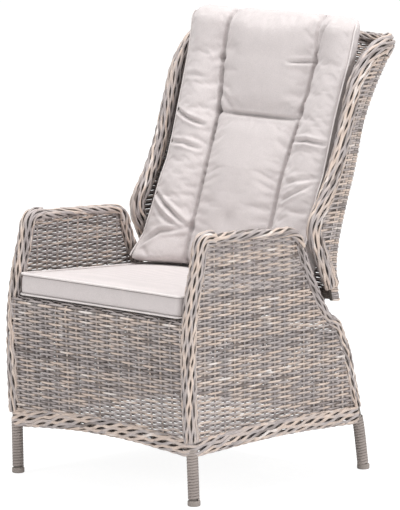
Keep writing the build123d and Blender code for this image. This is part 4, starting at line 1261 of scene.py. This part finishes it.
def back_outline(z, wide, crown, thin):
    """The back cushion's outline at a height: front, side, rear and the other side."""
    ear_hollow, rear_slope, weave_gap, core_gap = 0.024, 0.09, 0.0095, 0.010
    crease_x, crease_y, edge_y = (at(z, column) for column in ("crease_x", "crease_y", "edge_y"))
    rear_y = weave_at(z) - weave_gap - at(z, "stand")
    ear_y = min(edge_y + at(z, "ear"), rear_y)
    ring = []
    for x in np.linspace(-wide, wide, front_count):
        reach = abs(x)
        if reach < crease_x:
            y = crease_y - crown * (1 - (reach / crease_x) ** 4) ** 0.6
        else:
            t = (reach - crease_x) / (wide - crease_x)
            y = crease_y + (edge_y - crease_y) * t - ear_hollow * math.sin(math.pi * t) ** 0.6
        ring.append((x, y))
    side = [edge_y + (ear_y - edge_y) * t for t in np.linspace(0, 1, side_count)[1:-1]]
    ring += [(wide, y) for y in side]
    for x in np.linspace(wide, -wide, rear_count):
        t = min(1.0, max(0.0, (wide - abs(x)) / rear_slope))
        ring.append((x, ear_y + (rear_y - ear_y) * t ** 0.7))
    ring += [(-wide, y) for y in reversed(side)]
    core_y = rear_y - core_gap
    return [(x, core_y + (y - core_y) * thin) for x, y in ring]


def back_cushion():
    """Winged cushion: crowned middle, a deep crease each side, and two ears that reach forward."""
    shrink, corner, side_draw, crown = 0.001, 0.030, 0.013, 0.014
    top_round, bottom_round, least_thick = 0.060, 0.030, 0.22
    sunk_height, notch_height, notch_depth, notch_x, notch_width = 0.10, 0.06, 0.012, 0.15, 0.02
    low_corner, high_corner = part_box("back_cushion")
    bottom, top, half = low_corner.z + shrink, high_corner.z - shrink, high_corner.x - shrink

    def half_at(z):
        near = np.clip(1 - min(z - bottom, top - z) / corner, 0, 1)
        draw = side_draw * math.sin(math.pi * np.clip((z - bottom) / (top - bottom), 0, 1))
        return half - draw - corner * (1 - math.sqrt(1 - near ** 2))

    def crown_at(z):
        low, high, least, power = (bottom, headrest_seam, 0.010, 0.4)
        if z > headrest_seam:
            low, high, least, power = (headrest_seam, top, 0.012, 0.5)
        return least + crown * math.sin(math.pi * (z - low) / (high - low)) ** power

    rings = []
    for share in np.linspace(0, 1, 130):
        z = bottom + (top - bottom) * share
        near_end = max(1 - min(1.0, (1 - share) / top_round), 1 - min(1.0, share / bottom_round))
        thin = least_thick + (1 - least_thick) * math.sqrt(1 - near_end ** 2)
        sunk = max(0.0, 1 - (z - bottom) / sunk_height)
        notch = notch_depth * max(0.0, 1 - (top - z) / notch_height)
        ring = []
        for x, y in back_outline(z, half_at(z), crown_at(z), thin):
            fall = notch * math.exp(-((abs(x) - notch_x) / notch_width) ** 2)
            ring.append(Vector((x, y, z + (seat_at(x, y) - bottom) * sunk - fall)))
        rings.append(ring)
    piece = skin_over("back_pad", rings)

    def sewn(spots):
        seam, edge, behind, front_depth = 0.006, 0.005, 0.07, 0.012
        x, y, z = np.abs(spots[:, 0]), spots[:, 1], spots[:, 2]
        front = y < at(z, "crease_y") + front_depth
        wide = np.array([half_at(min(max(level, bottom), top)) for level in z])
        crease = at(z, "crease_x")
        held = front & (np.abs(x - crease) < seam)
        held |= wide - x < seam
        held |= front & (np.abs(z - headrest_seam) < seam) & (x < crease)
        held |= ~front & (y > weave_at(z) - behind)
        held |= (z < bottom + edge) | (z > top - edge)
        return held.astype(float)

    def shown(spots, normals):
        most_turned, rear_gap = 0.35, 0.02
        faced = (normals[:, 1] < most_turned) & (spots[:, 1] < weave_at(spots[:, 2]) - rear_gap)
        return faced.astype(float)

    mesh = swell(piece, sewn, voxel=0.0072, reach=0.012, pressure=3.0, slack=0.02)
    levels = np.linspace(0.47, 1.17, 12)
    folds = [
        ([(side * at(z, "crease_x"), z) for z in levels], 0.0046, 0.0120, 0.2, shade_darkness)
        for side, shade_darkness in ((-1, 1.0), (1, 0.6))
    ]
    seam_reach = at(headrest_seam, "crease_x")
    seam = [(-seam_reach, headrest_seam), (seam_reach, headrest_seam)]
    folds.append((seam, 0.0042, 0.0090, 0.2, 0.8))
    folds += [([(side * at(z, "crease_x"), z)], 0.0100, 0.0080, 0.2, 0.8) for side, z in tufts]
    press_folds(mesh, folds + creases, shown)
    mesh.materials.append(cushion_fabric)
    settle(piece, "back", "cushion_fabric", "back_cushion")
    for (name, side), edge_index in zip(SIDES, (front_count - 1, 0)):
        stand_off = Vector((side * 0.0012, -0.0008, 0))
        line = [ring[edge_index] + stand_off for ring in rings[4:-3]]
        piping(f"back_piping_{name}", line, 0.0022, "back", piping_fabric, False)


back_cushion()


# Floor, backdrop and light
def seen_rays(graph):
    """1 for rays that the camera sees straight, in a mirror or through glass."""
    rays = graph.tree.nodes.new("ShaderNodeLightPath")
    kinds = ("Is Camera Ray", "Is Glossy Ray", "Is Transmission Ray")
    first, *others = (Wire(graph, rays.outputs[kind]) for kind in kinds)
    return sum(others, first)


def make_floor():
    """Pale ground that shows white and keeps the chair's soft shadow."""
    grey, glow_share, glow_strength, reach = 0.86, 0.70, 1.28, 30
    levels = {"Base Color": (grey, grey, grey, 1), "Roughness": 0.9}
    material, graph, shader = new_material("floor", levels)
    white = {"Color": (1, 1, 1, 1), "Strength": glow_strength}
    glow = graph.add("ShaderNodeEmission", {}, white)
    lit = Wire(graph, shader.outputs[0])
    values = {0: seen_rays(graph) * glow_share, 1: lit, 2: glow}
    both = graph.add("ShaderNodeMixShader", {}, values)
    graph.feed(material.node_tree.nodes["Material Output"].inputs["Surface"], both)
    mesh = bpy.data.meshes.new("floor")
    corners = [(x * reach, y * reach, 0) for x, y in ((-1, -1), (1, -1), (1, 1), (-1, 1))]
    mesh.from_pydata(corners, [], [(0, 1, 2, 3)])
    mesh.materials.append(material)
    linked("floor", mesh)


def make_world():
    """A white backdrop, whose light on the chair is weaker than it looks."""
    light = 0.41
    world = bpy.data.worlds.new("world")
    bpy.context.scene.world = world
    world.use_nodes = True
    world.node_tree.nodes.clear()
    graph = Graph(world.node_tree)
    values = {"Color": (1, 1, 1, 1), "Strength": light + seen_rays(graph) * (1 - light)}
    sky = graph.add("ShaderNodeBackground", {}, values)
    leave = world.node_tree.nodes.new("ShaderNodeOutputWorld")
    graph.feed(leave.inputs["Surface"], sky)


def studio_lamp(name, way, size, power):
    """A broad lamp, far enough off to light the whole chair evenly."""
    middle_height, distance = 0.55, 7
    data = bpy.data.lights.new(name, "AREA")
    data.shape = "DISK"
    data.size = size
    data.energy = power
    lamp = linked(name, data)
    lamp.location = Vector((0, 0, middle_height)) + Vector(way).normalized() * distance
    lamp.rotation_mode = "QUATERNION"
    lamp.rotation_quaternion = (-Vector(way)).to_track_quat("-Z", "Y")


make_floor()
make_world()
studio_lamp("top_light", (0.05, 0.08, 0.99), 4.0, 525)
studio_lamp("key_light", (-0.20, -0.85, 0.40), 3.0, 120)
studio_lamp("side_light", (0.95, -0.10, 0.25), 3.0, 200)
bpy.context.scene.view_settings.view_transform = "Standard"
